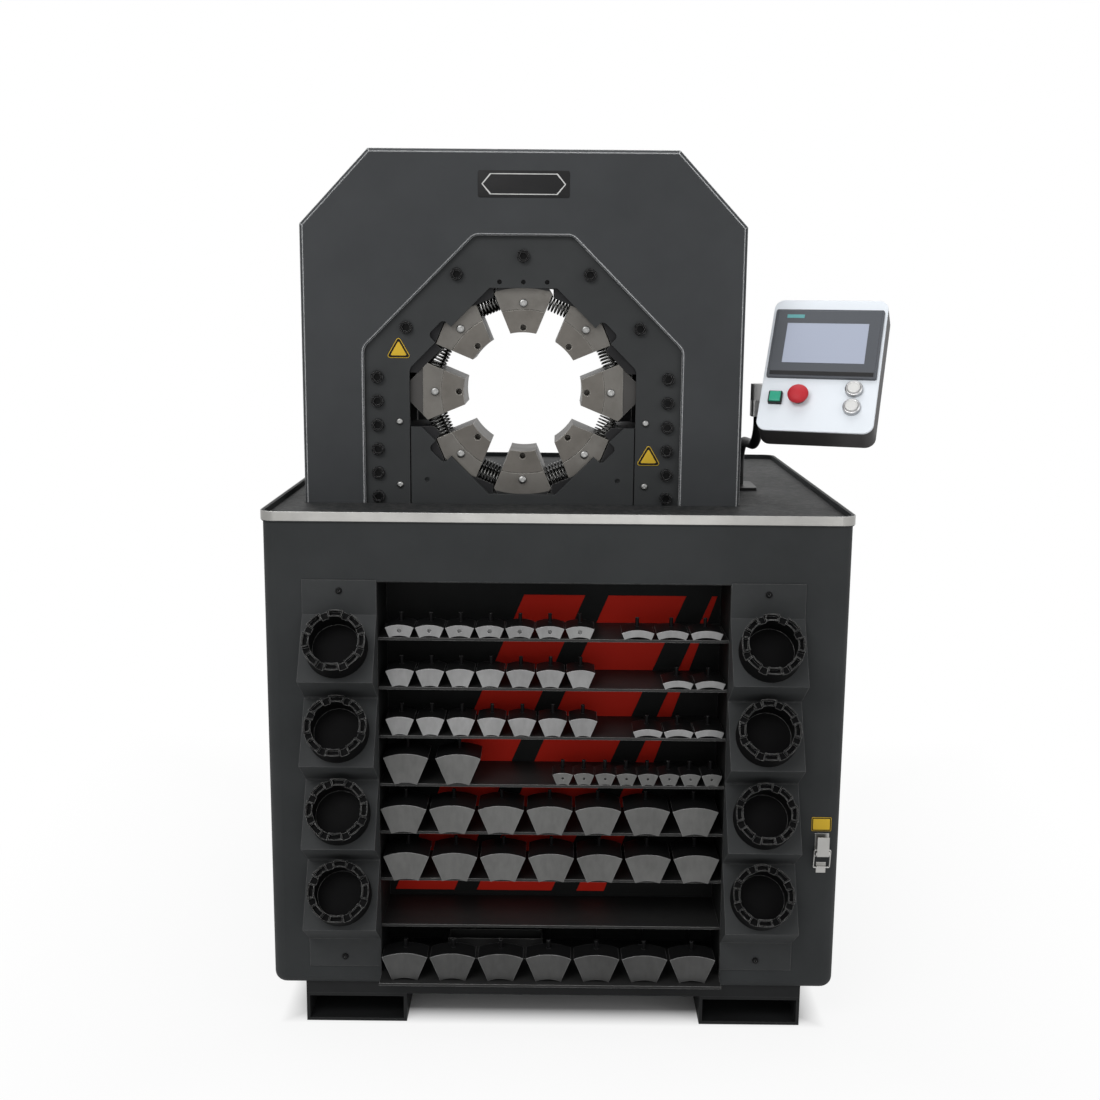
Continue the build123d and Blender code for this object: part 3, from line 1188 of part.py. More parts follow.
def panel_buttons():
    """The four buttons, each free to slide in, and the collars that guide them."""
    stem_d = 16.0
    hole_d = stem_d + 2 * STEM_FIT
    stem = 14.0
    square = extrude(RectangleRounded(GREEN_SIZE + 5, GREEN_SIZE + 5, 2) - Rectangle(
        GREEN_SIZE + 2 * STEM_FIT, GREEN_SIZE + 2 * STEM_FIT), amount=7)
    collars = [plain_collar(ESTOP_UV, 28, hole_d, 6), Pos(*GREEN_UV, 0) * square,
               plain_collar((ROUND_U, ROUND_UPPER_V), ROUND_D, ROUND_D - 10, 9),
               plain_collar((ROUND_U, ROUND_LOWER_V), ROUND_D, ROUND_D - 10, 9)]
    on_panel("button_collars", *collars)

    cap_z = 6 + ESTOP_TRAVEL + KNUCKLE_GAP
    cap = Pos(*ESTOP_UV, cap_z) * Cylinder(ESTOP_D / 2, 12, align=(Align.CENTER, Align.CENTER, Align.MIN))
    cap = fillet(cap.edges().group_by(Axis.Z)[-1], 5)
    estop = cap + Pos(*ESTOP_UV, -stem) * Cylinder(stem_d / 2, stem + cap_z + 1,
                                                   align=(Align.CENTER, Align.CENTER, Align.MIN))
    on_panel("estop_button", estop)

    green = Pos(*GREEN_UV, BUTTON_TRAVEL) * extrude(Rectangle(GREEN_SIZE, GREEN_SIZE), amount=8)
    green = fillet(green.edges().group_by(Axis.Z)[-1], 1.5)
    green += Pos(*GREEN_UV, -stem) * Cylinder(stem_d / 2, stem + BUTTON_TRAVEL + 1,
                                              align=(Align.CENTER, Align.CENTER, Align.MIN))
    on_panel("green_button", green)

    for name, v in (("round_button_upper", ROUND_UPPER_V), ("round_button_lower", ROUND_LOWER_V)):
        cap_d = ROUND_D - 10 - 2 * STEM_FIT
        button = Pos(ROUND_U, v, BUTTON_TRAVEL) * Cylinder(cap_d / 2, 8, align=(
            Align.CENTER, Align.CENTER, Align.MIN))
        button = fillet(button.edges().group_by(Axis.Z)[-1], 1.5)
        button += Pos(ROUND_U, v, -stem) * Cylinder(stem_d / 2, stem + BUTTON_TRAVEL + 1, align=(
            Align.CENTER, Align.CENTER, Align.MIN))
        on_panel(name, button)


# ---------------------------------------------------------------- toggle latch
def latch_base():
    """The latch's base plate with its hinge ears and pin, and the keeper below it."""
    half = LATCH_WIDTH / 2
    pin_y = FRONT - LATCH_PIN_OUT
    base = brick((LATCH_X - half, LATCH_X + half), (FRONT - LATCH_SHEET, FRONT),
                 (LATCH_PIN_Z - 2 * LATCH_EAR_R, LATCH_TOP))
    for x in (LATCH_X - half, LATCH_X + half - LATCH_SHEET):
        base += brick((x, x + LATCH_SHEET), (pin_y, FRONT),
                      (LATCH_PIN_Z - LATCH_EAR_R, LATCH_PIN_Z + LATCH_EAR_R))
        base += rod((x, pin_y, LATCH_PIN_Z), (1, 0, 0), LATCH_EAR_R, LATCH_SHEET)
    base += rod((LATCH_X - half, pin_y, LATCH_PIN_Z), (1, 0, 0), LATCH_PIN_D / 2, 2 * half)

    keeper_x = (LATCH_X - KEEPER_HALF_WIDTH, LATCH_X + KEEPER_HALF_WIDTH)
    keeper = brick(keeper_x, (FRONT - LATCH_SHEET, FRONT), (LATCH_BOTTOM, KEEPER_FLANGE_Z + 7))
    keeper += brick(keeper_x, (FRONT - KEEPER_REACH, FRONT),
                    (KEEPER_FLANGE_Z, KEEPER_FLANGE_Z + LATCH_SHEET))
    keep("latch_base", base, keeper)


def latch_lever():
    """The folded lever that closes upwards, bored for the hinge pin and for the bail."""
    pin_y = FRONT - LATCH_PIN_OUT
    inner = LATCH_WIDTH / 2 - LATCH_SHEET - LATCH_GAP
    face_y = pin_y - LATCH_EAR_R
    low = LATCH_PIN_Z - LATCH_EAR_R + 1
    lever = brick((LATCH_X - inner, LATCH_X + inner), (face_y, face_y + LATCH_SHEET), (low, LATCH_TOP - 2))
    for x in (LATCH_X - inner, LATCH_X + inner - LATCH_SHEET):
        lever += brick((x, x + LATCH_SHEET), (face_y, pin_y + LATCH_EAR_R - 1), (low, LATCH_TOP - 12))
    hole_x = LATCH_X - LATCH_WIDTH
    lever -= rod((hole_x, pin_y, LATCH_PIN_Z), (1, 0, 0), LATCH_PIN_D / 2 + PIN_FIT, 2 * LATCH_WIDTH)
    lever -= rod((hole_x, pin_y + BAIL_OFFSET_Y, LATCH_PIN_Z + BAIL_OFFSET_Z), (1, 0, 0),
                 LATCH_WIRE / 2 + PIN_FIT, 2 * LATCH_WIDTH)
    keep("latch_lever", lever)


def latch_bail():
    """The wire loop that hangs from the lever and is drawn up under the keeper's flange."""
    inner = LATCH_WIDTH / 2 - 2 * LATCH_SHEET - LATCH_GAP - 1
    outer = LATCH_WIDTH / 2 + LATCH_WIRE / 2 + 2 * LATCH_GAP
    pivot_y = FRONT - LATCH_PIN_OUT + BAIL_OFFSET_Y
    pivot_z = LATCH_PIN_Z + BAIL_OFFSET_Z
    low_y = FRONT - KEEPER_REACH / 2
    low_z = KEEPER_FLANGE_Z - LATCH_WIRE / 2 - LATCH_GAP
    left = [(LATCH_X - inner, pivot_y, pivot_z), (LATCH_X - outer, pivot_y, pivot_z),
            (LATCH_X - outer, low_y, low_z)]
    right = [(2 * LATCH_X - x, y, z) for x, y, z in left[::-1]]
    loop = FilletPolyline(*left, *right, radius=2.5)
    section = Plane(origin=loop @ 0, z_dir=loop % 0) * Circle(LATCH_WIRE / 2)
    keep("latch_bail", sweep(section, path=loop))


# ---------------------------------------------------------------- the whole machine
def build():
    """Make every sub-part and write each to its own file."""
    foot_rails()
    base_frame()
    cabinet_shell()
    rear_panel()
    worktop()
    rack()
    stored_dies()
    magazines()
    hood()
    press_frame()
    lower_yoke()
    guide_plates()
    yoke_plates()
    cylinder_and_ram()
    dies()
    return_springs()
    screws()
    label_plates()
    power_unit()
    swivel_post()
    swivel_arm()
    panel_box()
    touch_screen()
    panel_buttons()
    latch_base()
    latch_lever()
    latch_bail()
    os.makedirs("parts", exist_ok=True)
    for name, shape in PARTS.items():
        export_step(shape, f"parts/{name}.step")
        print(name, len(shape.solids()), round(sum(solid.volume for solid in shape.solids())))


build()
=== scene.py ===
"""Dresses the hose crimping machine: finishes, springs, screws, plates, controls and studio."""
from __future__ import annotations

import json
import logging
import math
from dataclasses import dataclass, field
from enum import Enum
from functools import cache, cached_property

import bpy
import numpy as np
from mathutils import Matrix, Vector

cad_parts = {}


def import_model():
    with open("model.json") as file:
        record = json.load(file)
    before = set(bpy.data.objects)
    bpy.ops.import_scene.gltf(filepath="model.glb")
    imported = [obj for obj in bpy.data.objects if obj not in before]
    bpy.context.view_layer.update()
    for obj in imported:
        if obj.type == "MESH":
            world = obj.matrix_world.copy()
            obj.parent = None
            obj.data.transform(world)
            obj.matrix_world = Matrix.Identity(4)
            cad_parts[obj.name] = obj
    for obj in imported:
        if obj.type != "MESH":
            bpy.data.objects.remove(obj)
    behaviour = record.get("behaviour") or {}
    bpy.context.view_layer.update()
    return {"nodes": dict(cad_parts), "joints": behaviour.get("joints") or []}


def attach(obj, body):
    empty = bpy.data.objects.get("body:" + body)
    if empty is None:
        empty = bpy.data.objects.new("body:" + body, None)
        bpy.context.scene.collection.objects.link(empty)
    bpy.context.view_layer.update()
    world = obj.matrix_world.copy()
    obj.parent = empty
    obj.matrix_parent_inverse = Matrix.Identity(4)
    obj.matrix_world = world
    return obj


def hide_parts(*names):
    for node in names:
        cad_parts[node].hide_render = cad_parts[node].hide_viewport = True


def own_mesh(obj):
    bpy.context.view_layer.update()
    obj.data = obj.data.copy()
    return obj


LOG = logging.getLogger("hose_crimper")

Node = bpy.types.Node
Piece = bpy.types.Object
Socket = bpy.types.NodeSocket
Colour = tuple[float, float, float]
Pair = tuple[float, float]
Profile = tuple[Pair, ...]

FULL_TURN = 360
HEAD_CENTRE: Pair = (-0.069, 1.207)
PLATE_FRONT = -0.308


# ------------------------------------------------------------------ node helpers
class Canvas:
    """A node tree under construction, with short calls to add and join nodes."""

    def __init__(self, tree: bpy.types.NodeTree) -> None:
        """Start on an empty tree."""
        self.tree = tree
        tree.nodes.clear()

    def add(self, kind: str, **settings: object) -> Node:
        """Add a node and set its properties.

        Args:
            kind: the node's type name without the ShaderNode prefix, or a full name.
            settings: properties to set on the node.

        Returns:
            The new node.
        """
        full = kind if kind.startswith("Node") else f"ShaderNode{kind}"
        node = self.tree.nodes.new(full)
        for key, value in settings.items():
            setattr(node, key, value)
        return node

    def link(self, source: Socket, target: Socket) -> None:
        """Join an output to an input."""
        self.tree.links.new(source, target)

    def put(self, value: object, target: Socket) -> None:
        """Feed an input from a socket, or set its plain value."""
        if isinstance(value, Socket):
            self.link(value, target)
        else:
            target.default_value = value

    def maths(self, operation: str, *values: object, clamp: bool = False) -> Socket:
        """A Math node on sockets or numbers; returns its result."""
        node = self.add("Math", operation=operation, use_clamp=clamp)
        for index, value in enumerate(values):
            self.put(value, node.inputs[index])
        return node.outputs[0]

    def mix(self, share: object, low: object, high: object, blend: str = "MIX") -> Socket:
        """A colour that goes from low to high with a share; returns its result."""
        node = self.add("Mix", data_type="RGBA", blend_type=blend, clamp_factor=True)
        self.put(share, node.inputs[0])
        self.put(rgba(low), node.inputs[6])
        self.put(rgba(high), node.inputs[7])
        return node.outputs[2]

    def remap(self, value: object, low: float, high: float, to_low: float = 0.0,
              to_high: float = 1.0) -> Socket:
        """A clamped Map Range node; returns its result."""
        node = self.add("MapRange", clamp=True)
        for index, item in enumerate((value, low, high, to_low, to_high)):
            self.put(item, node.inputs[index])
        return node.outputs[0]

    def noise(self, vector: Socket, scale: object, detail: float = 3.0,
              roughness: float = 0.55) -> Socket:
        """A Noise Texture node, whose scale may be a socket; returns its value."""
        node = self.add("TexNoise")
        for label, value in (("Vector", vector), ("Scale", scale), ("Detail", detail),
                             ("Roughness", roughness)):
            self.put(value, node.inputs[label])
        return node.outputs["Fac"]

    def stretched(self, vector: Socket, scale: tuple[float, float, float]) -> Socket:
        """A Mapping node that stretches coordinates; returns the vector."""
        node = self.add("Mapping")
        self.put(vector, node.inputs["Vector"])
        node.inputs["Scale"].default_value = scale
        return node.outputs[0]

    def split(self, vector: Socket) -> tuple[Socket, ...]:
        """The three parts of a vector."""
        node = self.add("SeparateXYZ")
        self.link(vector, node.inputs[0])
        return tuple(node.outputs)

    def group(self, tree: bpy.types.NodeTree, place: Socket, **values: float) -> Node:
        """A shared group fed with a place, its other inputs set by name; returns the node."""
        node = self.add("Group", node_tree=tree)
        self.link(place, node.inputs["Vector"])
        for label, value in values.items():
            node.inputs[label].default_value = value
        return node


def rgba(value: object) -> object:
    """Make a three-number colour into four numbers, and pass a socket through."""
    if isinstance(value, tuple) and len(value) == 3:
        return (*value, 1.0)
    return value


class GroupShelf:
    """The shader groups that several finishes share, each built when it is first asked for.

    Pairs named as a range are the noise levels, or the slope, between which a mask goes from
    nothing to full.
    """

    bevel_samples = 4
    edge_breakup_scale = 60.0
    edge_breakup_range = (0.3, 0.6)
    edge_breakup_least = 0.45
    grain_fine_share = 0.7
    grain_broad_share = 0.3
    grain_broad_scale = 60.0
    smudge_scale = 5.0
    smudge_range = (0.35, 0.7)
    dust_slope_range = (0.6, 1.0)
    dust_scale = 90.0
    dust_range = (0.42, 0.7)
    streak_range = (0.3, 0.7)

    @staticmethod
    def _start(name: str, numbers: dict[str, float],
               *outs: str) -> tuple[Canvas, dict[str, Socket], Node]:
        """Make a group with the input Vector.

        Args:
            name: the group's name.
            numbers: its other inputs, each with its default.
            outs: its outputs, of which Normal is a vector and the others are numbers.

        Returns:
            The group's canvas, its inputs by name and its output node.
        """
        tree = bpy.data.node_groups.new(name, "ShaderNodeTree")
        face = tree.interface
        face.new_socket("Vector", in_out="INPUT", socket_type="NodeSocketVector")
        for label, default in numbers.items():
            socket = face.new_socket(label, in_out="INPUT", socket_type="NodeSocketFloat")
            socket.default_value = default
        for label in outs:
            kind = "NodeSocketVector" if label == "Normal" else "NodeSocketFloat"
            face.new_socket(label, in_out="OUTPUT", socket_type=kind)
        canvas = Canvas(tree)
        entry = canvas.add("NodeGroupInput")
        inputs = {label: entry.outputs[label] for label in ("Vector", *numbers)}
        return canvas, inputs, canvas.add("NodeGroupOutput")

    @cached_property
    def edge_wear_and_highlight(self) -> bpy.types.NodeTree:
        """Rounded edge normals, and a broken mask that is high along edges; the mask carries real
        wear on some finishes and a painted highlight on others.

        The mask is one minus the dot product of the true and the rounded normal, sharpened,
        and broken up by noise.

        Returns:
            The group, with inputs Vector, Radius, Gain and Even.
        """
        canvas, inputs, leave = self._start(
            "edge wear and painted highlight", {"Radius": 0.001, "Gain": 6.0, "Even": 0.0}, "Mask", "Normal")
        bevel = canvas.add("Bevel", samples=self.bevel_samples)
        canvas.link(inputs["Radius"], bevel.inputs["Radius"])
        dot = canvas.add("VectorMath", operation="DOT_PRODUCT")
        canvas.link(bevel.outputs[0], dot.inputs[0])
        canvas.link(canvas.add("NewGeometry").outputs["Normal"], dot.inputs[1])
        away = canvas.maths("SUBTRACT", 1.0, dot.outputs["Value"], clamp=True)
        noise = canvas.noise(inputs["Vector"], self.edge_breakup_scale, 4.0, 0.5)
        broken = canvas.maths("MAXIMUM", inputs["Even"],
                              canvas.remap(noise, *self.edge_breakup_range, self.edge_breakup_least, 1.0))
        raised = canvas.maths("MULTIPLY", away, inputs["Gain"], clamp=True)
        canvas.link(canvas.maths("MULTIPLY", raised, broken, clamp=True), leave.inputs["Mask"])
        canvas.link(bevel.outputs[0], leave.inputs["Normal"])
        return canvas.tree

    @cached_property
    def powder_grain(self) -> bpy.types.NodeTree:
        """Fine orange-peel texture: two noises, one fine and one broad, added together.

        Returns:
            The group, with inputs Vector and Scale and the output Height.
        """
        canvas, inputs, leave = self._start("powder grain", {"Scale": 900.0}, "Height")
        fine = canvas.noise(inputs["Vector"], inputs["Scale"], 2.0, 0.5)
        broad = canvas.noise(inputs["Vector"], self.grain_broad_scale, 2.0)
        height = canvas.maths("ADD", canvas.maths("MULTIPLY", fine, self.grain_fine_share),
                              canvas.maths("MULTIPLY", broad, self.grain_broad_share))
        canvas.link(height, leave.inputs["Height"])
        return canvas.tree

    @cached_property
    def soiling(self) -> bpy.types.NodeTree:
        """Handling marks and settled dust.

        Smudge is broad noise. Dust is the upward share of the normal, broken up by fine noise.

        Returns:
            The group, with the input Vector and the outputs Smudge and Dust.
        """
        canvas, inputs, leave = self._start("soiling", {}, "Smudge", "Dust")
        broad = canvas.noise(inputs["Vector"], self.smudge_scale, 5.0, 0.65)
        canvas.link(canvas.remap(broad, *self.smudge_range), leave.inputs["Smudge"])
        normal = canvas.split(canvas.add("NewGeometry").outputs["Normal"])
        upward = canvas.remap(normal[2], *self.dust_slope_range)
        fine = canvas.noise(inputs["Vector"], self.dust_scale, 4.0)
        settled = canvas.maths("MULTIPLY", upward, canvas.remap(fine, *self.dust_range))
        canvas.link(settled, leave.inputs["Dust"])
        return canvas.tree

    @cached_property
    def brushed(self) -> bpy.types.NodeTree:
        """Fine parallel scratches: noise on stretched coordinates.

        Returns:
            The group, with the input Vector, already stretched, and the output Streak.
        """
        canvas, inputs, leave = self._start("brushed", {}, "Streak")
        streak = canvas.remap(canvas.noise(inputs["Vector"], 1.0, 3.0, 0.7), *self.streak_range)
        canvas.link(streak, leave.inputs["Streak"])
        return canvas.tree


GROUPS = GroupShelf()


# ------------------------------------------------------------------ finishes
@dataclass(frozen=True)
class Edge:
    """A colour along the edges of a piece: real wear on some finishes, a painted highlight on
    others.

    Share is how much of the colour shows, radius how wide the edge is in metres, gain how
    sharply it starts, and even how little it is broken up.
    """

    share: float = 0.5
    colour: Colour = (0.3, 0.3, 0.31)
    radius: float = 0.0012
    gain: float = 6.0
    even: float = 0.0


NO_WEAR = Edge(share=0.0)
DUST_COLOUR: Colour = (0.32, 0.31, 0.29)
SMUDGE_SMOOTHER, SMUDGE_ROUGHER = 0.05, 0.08


@dataclass(frozen=True)
class Finish:
    """A finish with colour, edge colour, grain and handling marks; the edge colour is real wear
    on some finishes and a painted highlight on others.

    The colour is mottled between itself and a darker tone, edges go towards the edge colour,
    and upward faces take a little dust.
    """

    name: str
    colour: Colour
    roughness: float = 0.5
    specular: float = 0.15
    edge: Edge = Edge()
    metallic: float = 0.0
    grain_scale: float = 900.0
    grain_strength: float = 0.15
    grain_depth: float = 0.0002
    mottle: float = 0.12
    dust: float = 0.0

    def base(self, canvas: Canvas, place: Socket) -> object:
        """The colour before wear; returns a socket or a plain colour."""
        return self.colour

    def height(self, canvas: Canvas, place: Socket) -> Socket:
        """The relief of the surface; returns its height."""
        grain = canvas.group(GROUPS.powder_grain, place, Scale=self.grain_scale)
        return grain.outputs["Height"]

    def light_up(self, shader: Node) -> None:
        """Set what a lit finish adds to the shader."""

    def build(self) -> bpy.types.Material:
        """Make the material.

        Returns:
            The finished material.
        """
        material = bpy.data.materials.new(self.name)
        material.use_nodes = True
        canvas = Canvas(material.node_tree)
        out = canvas.add("OutputMaterial")
        shader = canvas.add("BsdfPrincipled")
        canvas.link(shader.outputs[0], out.inputs[0])
        place = canvas.add("TexCoord").outputs["Object"]
        wear_and_highlight = canvas.group(GROUPS.edge_wear_and_highlight, place, Radius=self.edge.radius,
                            Gain=self.edge.gain, Even=self.edge.even)
        soil = canvas.group(GROUPS.soiling, place)
        smudge = soil.outputs["Smudge"]
        darker = (1 - 2 * self.mottle,) * 3
        mottled = canvas.mix(smudge, self.base(canvas, place), darker, "MULTIPLY")
        # Edges go towards the edge colour: real wear on most finishes, a painted highlight on the
        # hood, the black screws, the shelves and the magazine rings.
        worn_and_highlit = canvas.mix(canvas.maths("MULTIPLY", wear_and_highlight.outputs["Mask"], self.edge.share),
                          mottled, self.edge.colour)
        if self.dust > 0:
            worn_and_highlit = canvas.mix(canvas.maths("MULTIPLY", soil.outputs["Dust"], self.dust), worn_and_highlit,
                              DUST_COLOUR)
        canvas.link(worn_and_highlit, shader.inputs["Base Color"])
        rough = canvas.remap(smudge, 0.0, 1.0, self.roughness - SMUDGE_SMOOTHER,
                             min(1.0, self.roughness + SMUDGE_ROUGHER))
        canvas.link(rough, shader.inputs["Roughness"])
        shader.inputs["Metallic"].default_value = self.metallic
        shader.inputs["Specular IOR Level"].default_value = self.specular
        bump = canvas.add("Bump")
        bump.inputs["Strength"].default_value = self.grain_strength
        bump.inputs["Distance"].default_value = self.grain_depth
        canvas.link(self.height(canvas, place), bump.inputs["Height"])
        canvas.link(wear_and_highlight.outputs["Normal"], bump.inputs["Normal"])
        canvas.link(bump.outputs[0], shader.inputs["Normal"])
        self.light_up(shader)
        return material


@dataclass(frozen=True)
class BrushedMetal(Finish):
    """Metal with scratches along one axis."""

    metallic: float = 1.0
    streaks: tuple[float, float, float] = (4.0, 900.0, 900.0)

    def height(self, canvas: Canvas, place: Socket) -> Socket:
        """Scratches along the long axis of the stretched coordinates; returns the height."""
        group = canvas.group(GROUPS.brushed, canvas.stretched(place, self.streaks))
        return group.outputs["Streak"]


@dataclass(frozen=True)
class GroundDie(Finish):
    """A die with a ground front face and a blacker body.

    The share of ground metal is how far the normal points to the front, and the rest takes the
    body colour.
    """

    metallic: float = 0.5
    body_colour: Colour = (0.012, 0.012, 0.0125)
    front_range: Pair = (-0.75, -0.95)
    tone_stretch: tuple[float, float, float] = (90.0, 90.0, 40.0)
    tone_range: Pair = (0.35, 0.65)
    darker_tone: float = 0.88

    def base(self, canvas: Canvas, place: Socket) -> object:
        """Ground colour on the front, body colour elsewhere; returns the mix."""
        normal = canvas.split(canvas.add("NewGeometry").outputs["Normal"])
        front = canvas.remap(normal[1], *self.front_range)
        tone = canvas.noise(canvas.stretched(place, self.tone_stretch), 1.0, 3.0)
        ground = canvas.mix(canvas.remap(tone, *self.tone_range), self.colour,
                            tuple(self.darker_tone * c for c in self.colour))
        return canvas.mix(front, self.body_colour, ground)


@dataclass(frozen=True)
class OiledDie(Finish):
    """Oiled hardened steel: a warm grey front with soft stains, and a blacked outer end.

    The blacked end starts at a distance from the head's axis, measured along the radius, or
    sideways for the two dies with a straight nose.
    """

    metallic: float = 0.5
    specular: float = 0.4
    stain: Colour = (0.06, 0.053, 0.045)
    patch_scale: float = 22.0
    patch_range: Pair = (0.48, 0.8)
    patch_share: float = 0.55
    speck_scale: float = 150.0
    speck_range: Pair = (0.6, 0.78)
    speck_share: float = 0.25
    blacked: Colour = (0.014, 0.014, 0.0145)
    blacked_from: float = 0.1968
    blacked_blend: float = 0.0008
    sideways: bool = False

    def base(self, canvas: Canvas, place: Socket) -> object:
        """Grey steel with soft stains, black beyond the given distance; returns the colour."""
        patch = canvas.remap(canvas.noise(place, self.patch_scale, 5.0, 0.6), *self.patch_range)
        speck = canvas.remap(canvas.noise(place, self.speck_scale, 3.0, 0.6), *self.speck_range)
        marks = canvas.maths("ADD", canvas.maths("MULTIPLY", patch, self.patch_share),
                             canvas.maths("MULTIPLY", speck, self.speck_share), clamp=True)
        steel = canvas.mix(marks, self.colour, self.stain)
        x, _, z = canvas.split(place)
        reach = canvas.maths("ABSOLUTE", canvas.maths("SUBTRACT", x, HEAD_CENTRE[0]))
        if not self.sideways:
            above = canvas.maths("SUBTRACT", z, HEAD_CENTRE[1])
            reach = canvas.maths("SQRT", canvas.maths(
                "ADD", canvas.maths("MULTIPLY", reach, reach),
                canvas.maths("MULTIPLY", above, above)))
        outer = canvas.remap(reach, self.blacked_from, self.blacked_from + self.blacked_blend)
        return canvas.mix(outer, steel, self.blacked)


@dataclass(frozen=True)
class FlutedRubber(Finish):
    """A rubber mat with fine wavy ribs from side to side."""

    rib_scale: float = 60.0
    rib_bend: float = 2.5
    bend_detail: float = 2.0
    bend_scale: float = 1.4

    def height(self, canvas: Canvas, place: Socket) -> Socket:
        """Ribs as a sine of the depth, bent by noise; returns the height."""
        wave = canvas.add("TexWave", wave_type="BANDS", bands_direction="Y", wave_profile="SIN")
        for label, value in (("Vector", place), ("Scale", self.rib_scale),
                             ("Distortion", self.rib_bend), ("Detail", self.bend_detail),
                             ("Detail Scale", self.bend_scale)):
            canvas.put(value, wave.inputs[label])
        return wave.outputs["Fac"]


@dataclass(frozen=True)
class LitScreen(Finish):
    """A display behind clear glass, faintly lit from within."""

    glow: float = 0.25

    def light_up(self, shader: Node) -> None:
        """Add the backlight, even over the surface."""
        shader.inputs["Emission Color"].default_value = (*self.colour, 1.0)
        shader.inputs["Emission Strength"].default_value = self.glow


MASTER_STEEL: Colour = (0.127, 0.12, 0.109)
MASTER_WEAR = Edge(0.9, (0.42, 0.41, 0.38), 0.0013, 9.0, 0.4)
EVEN_GRAIN = (200.0, 200.0, 200.0)


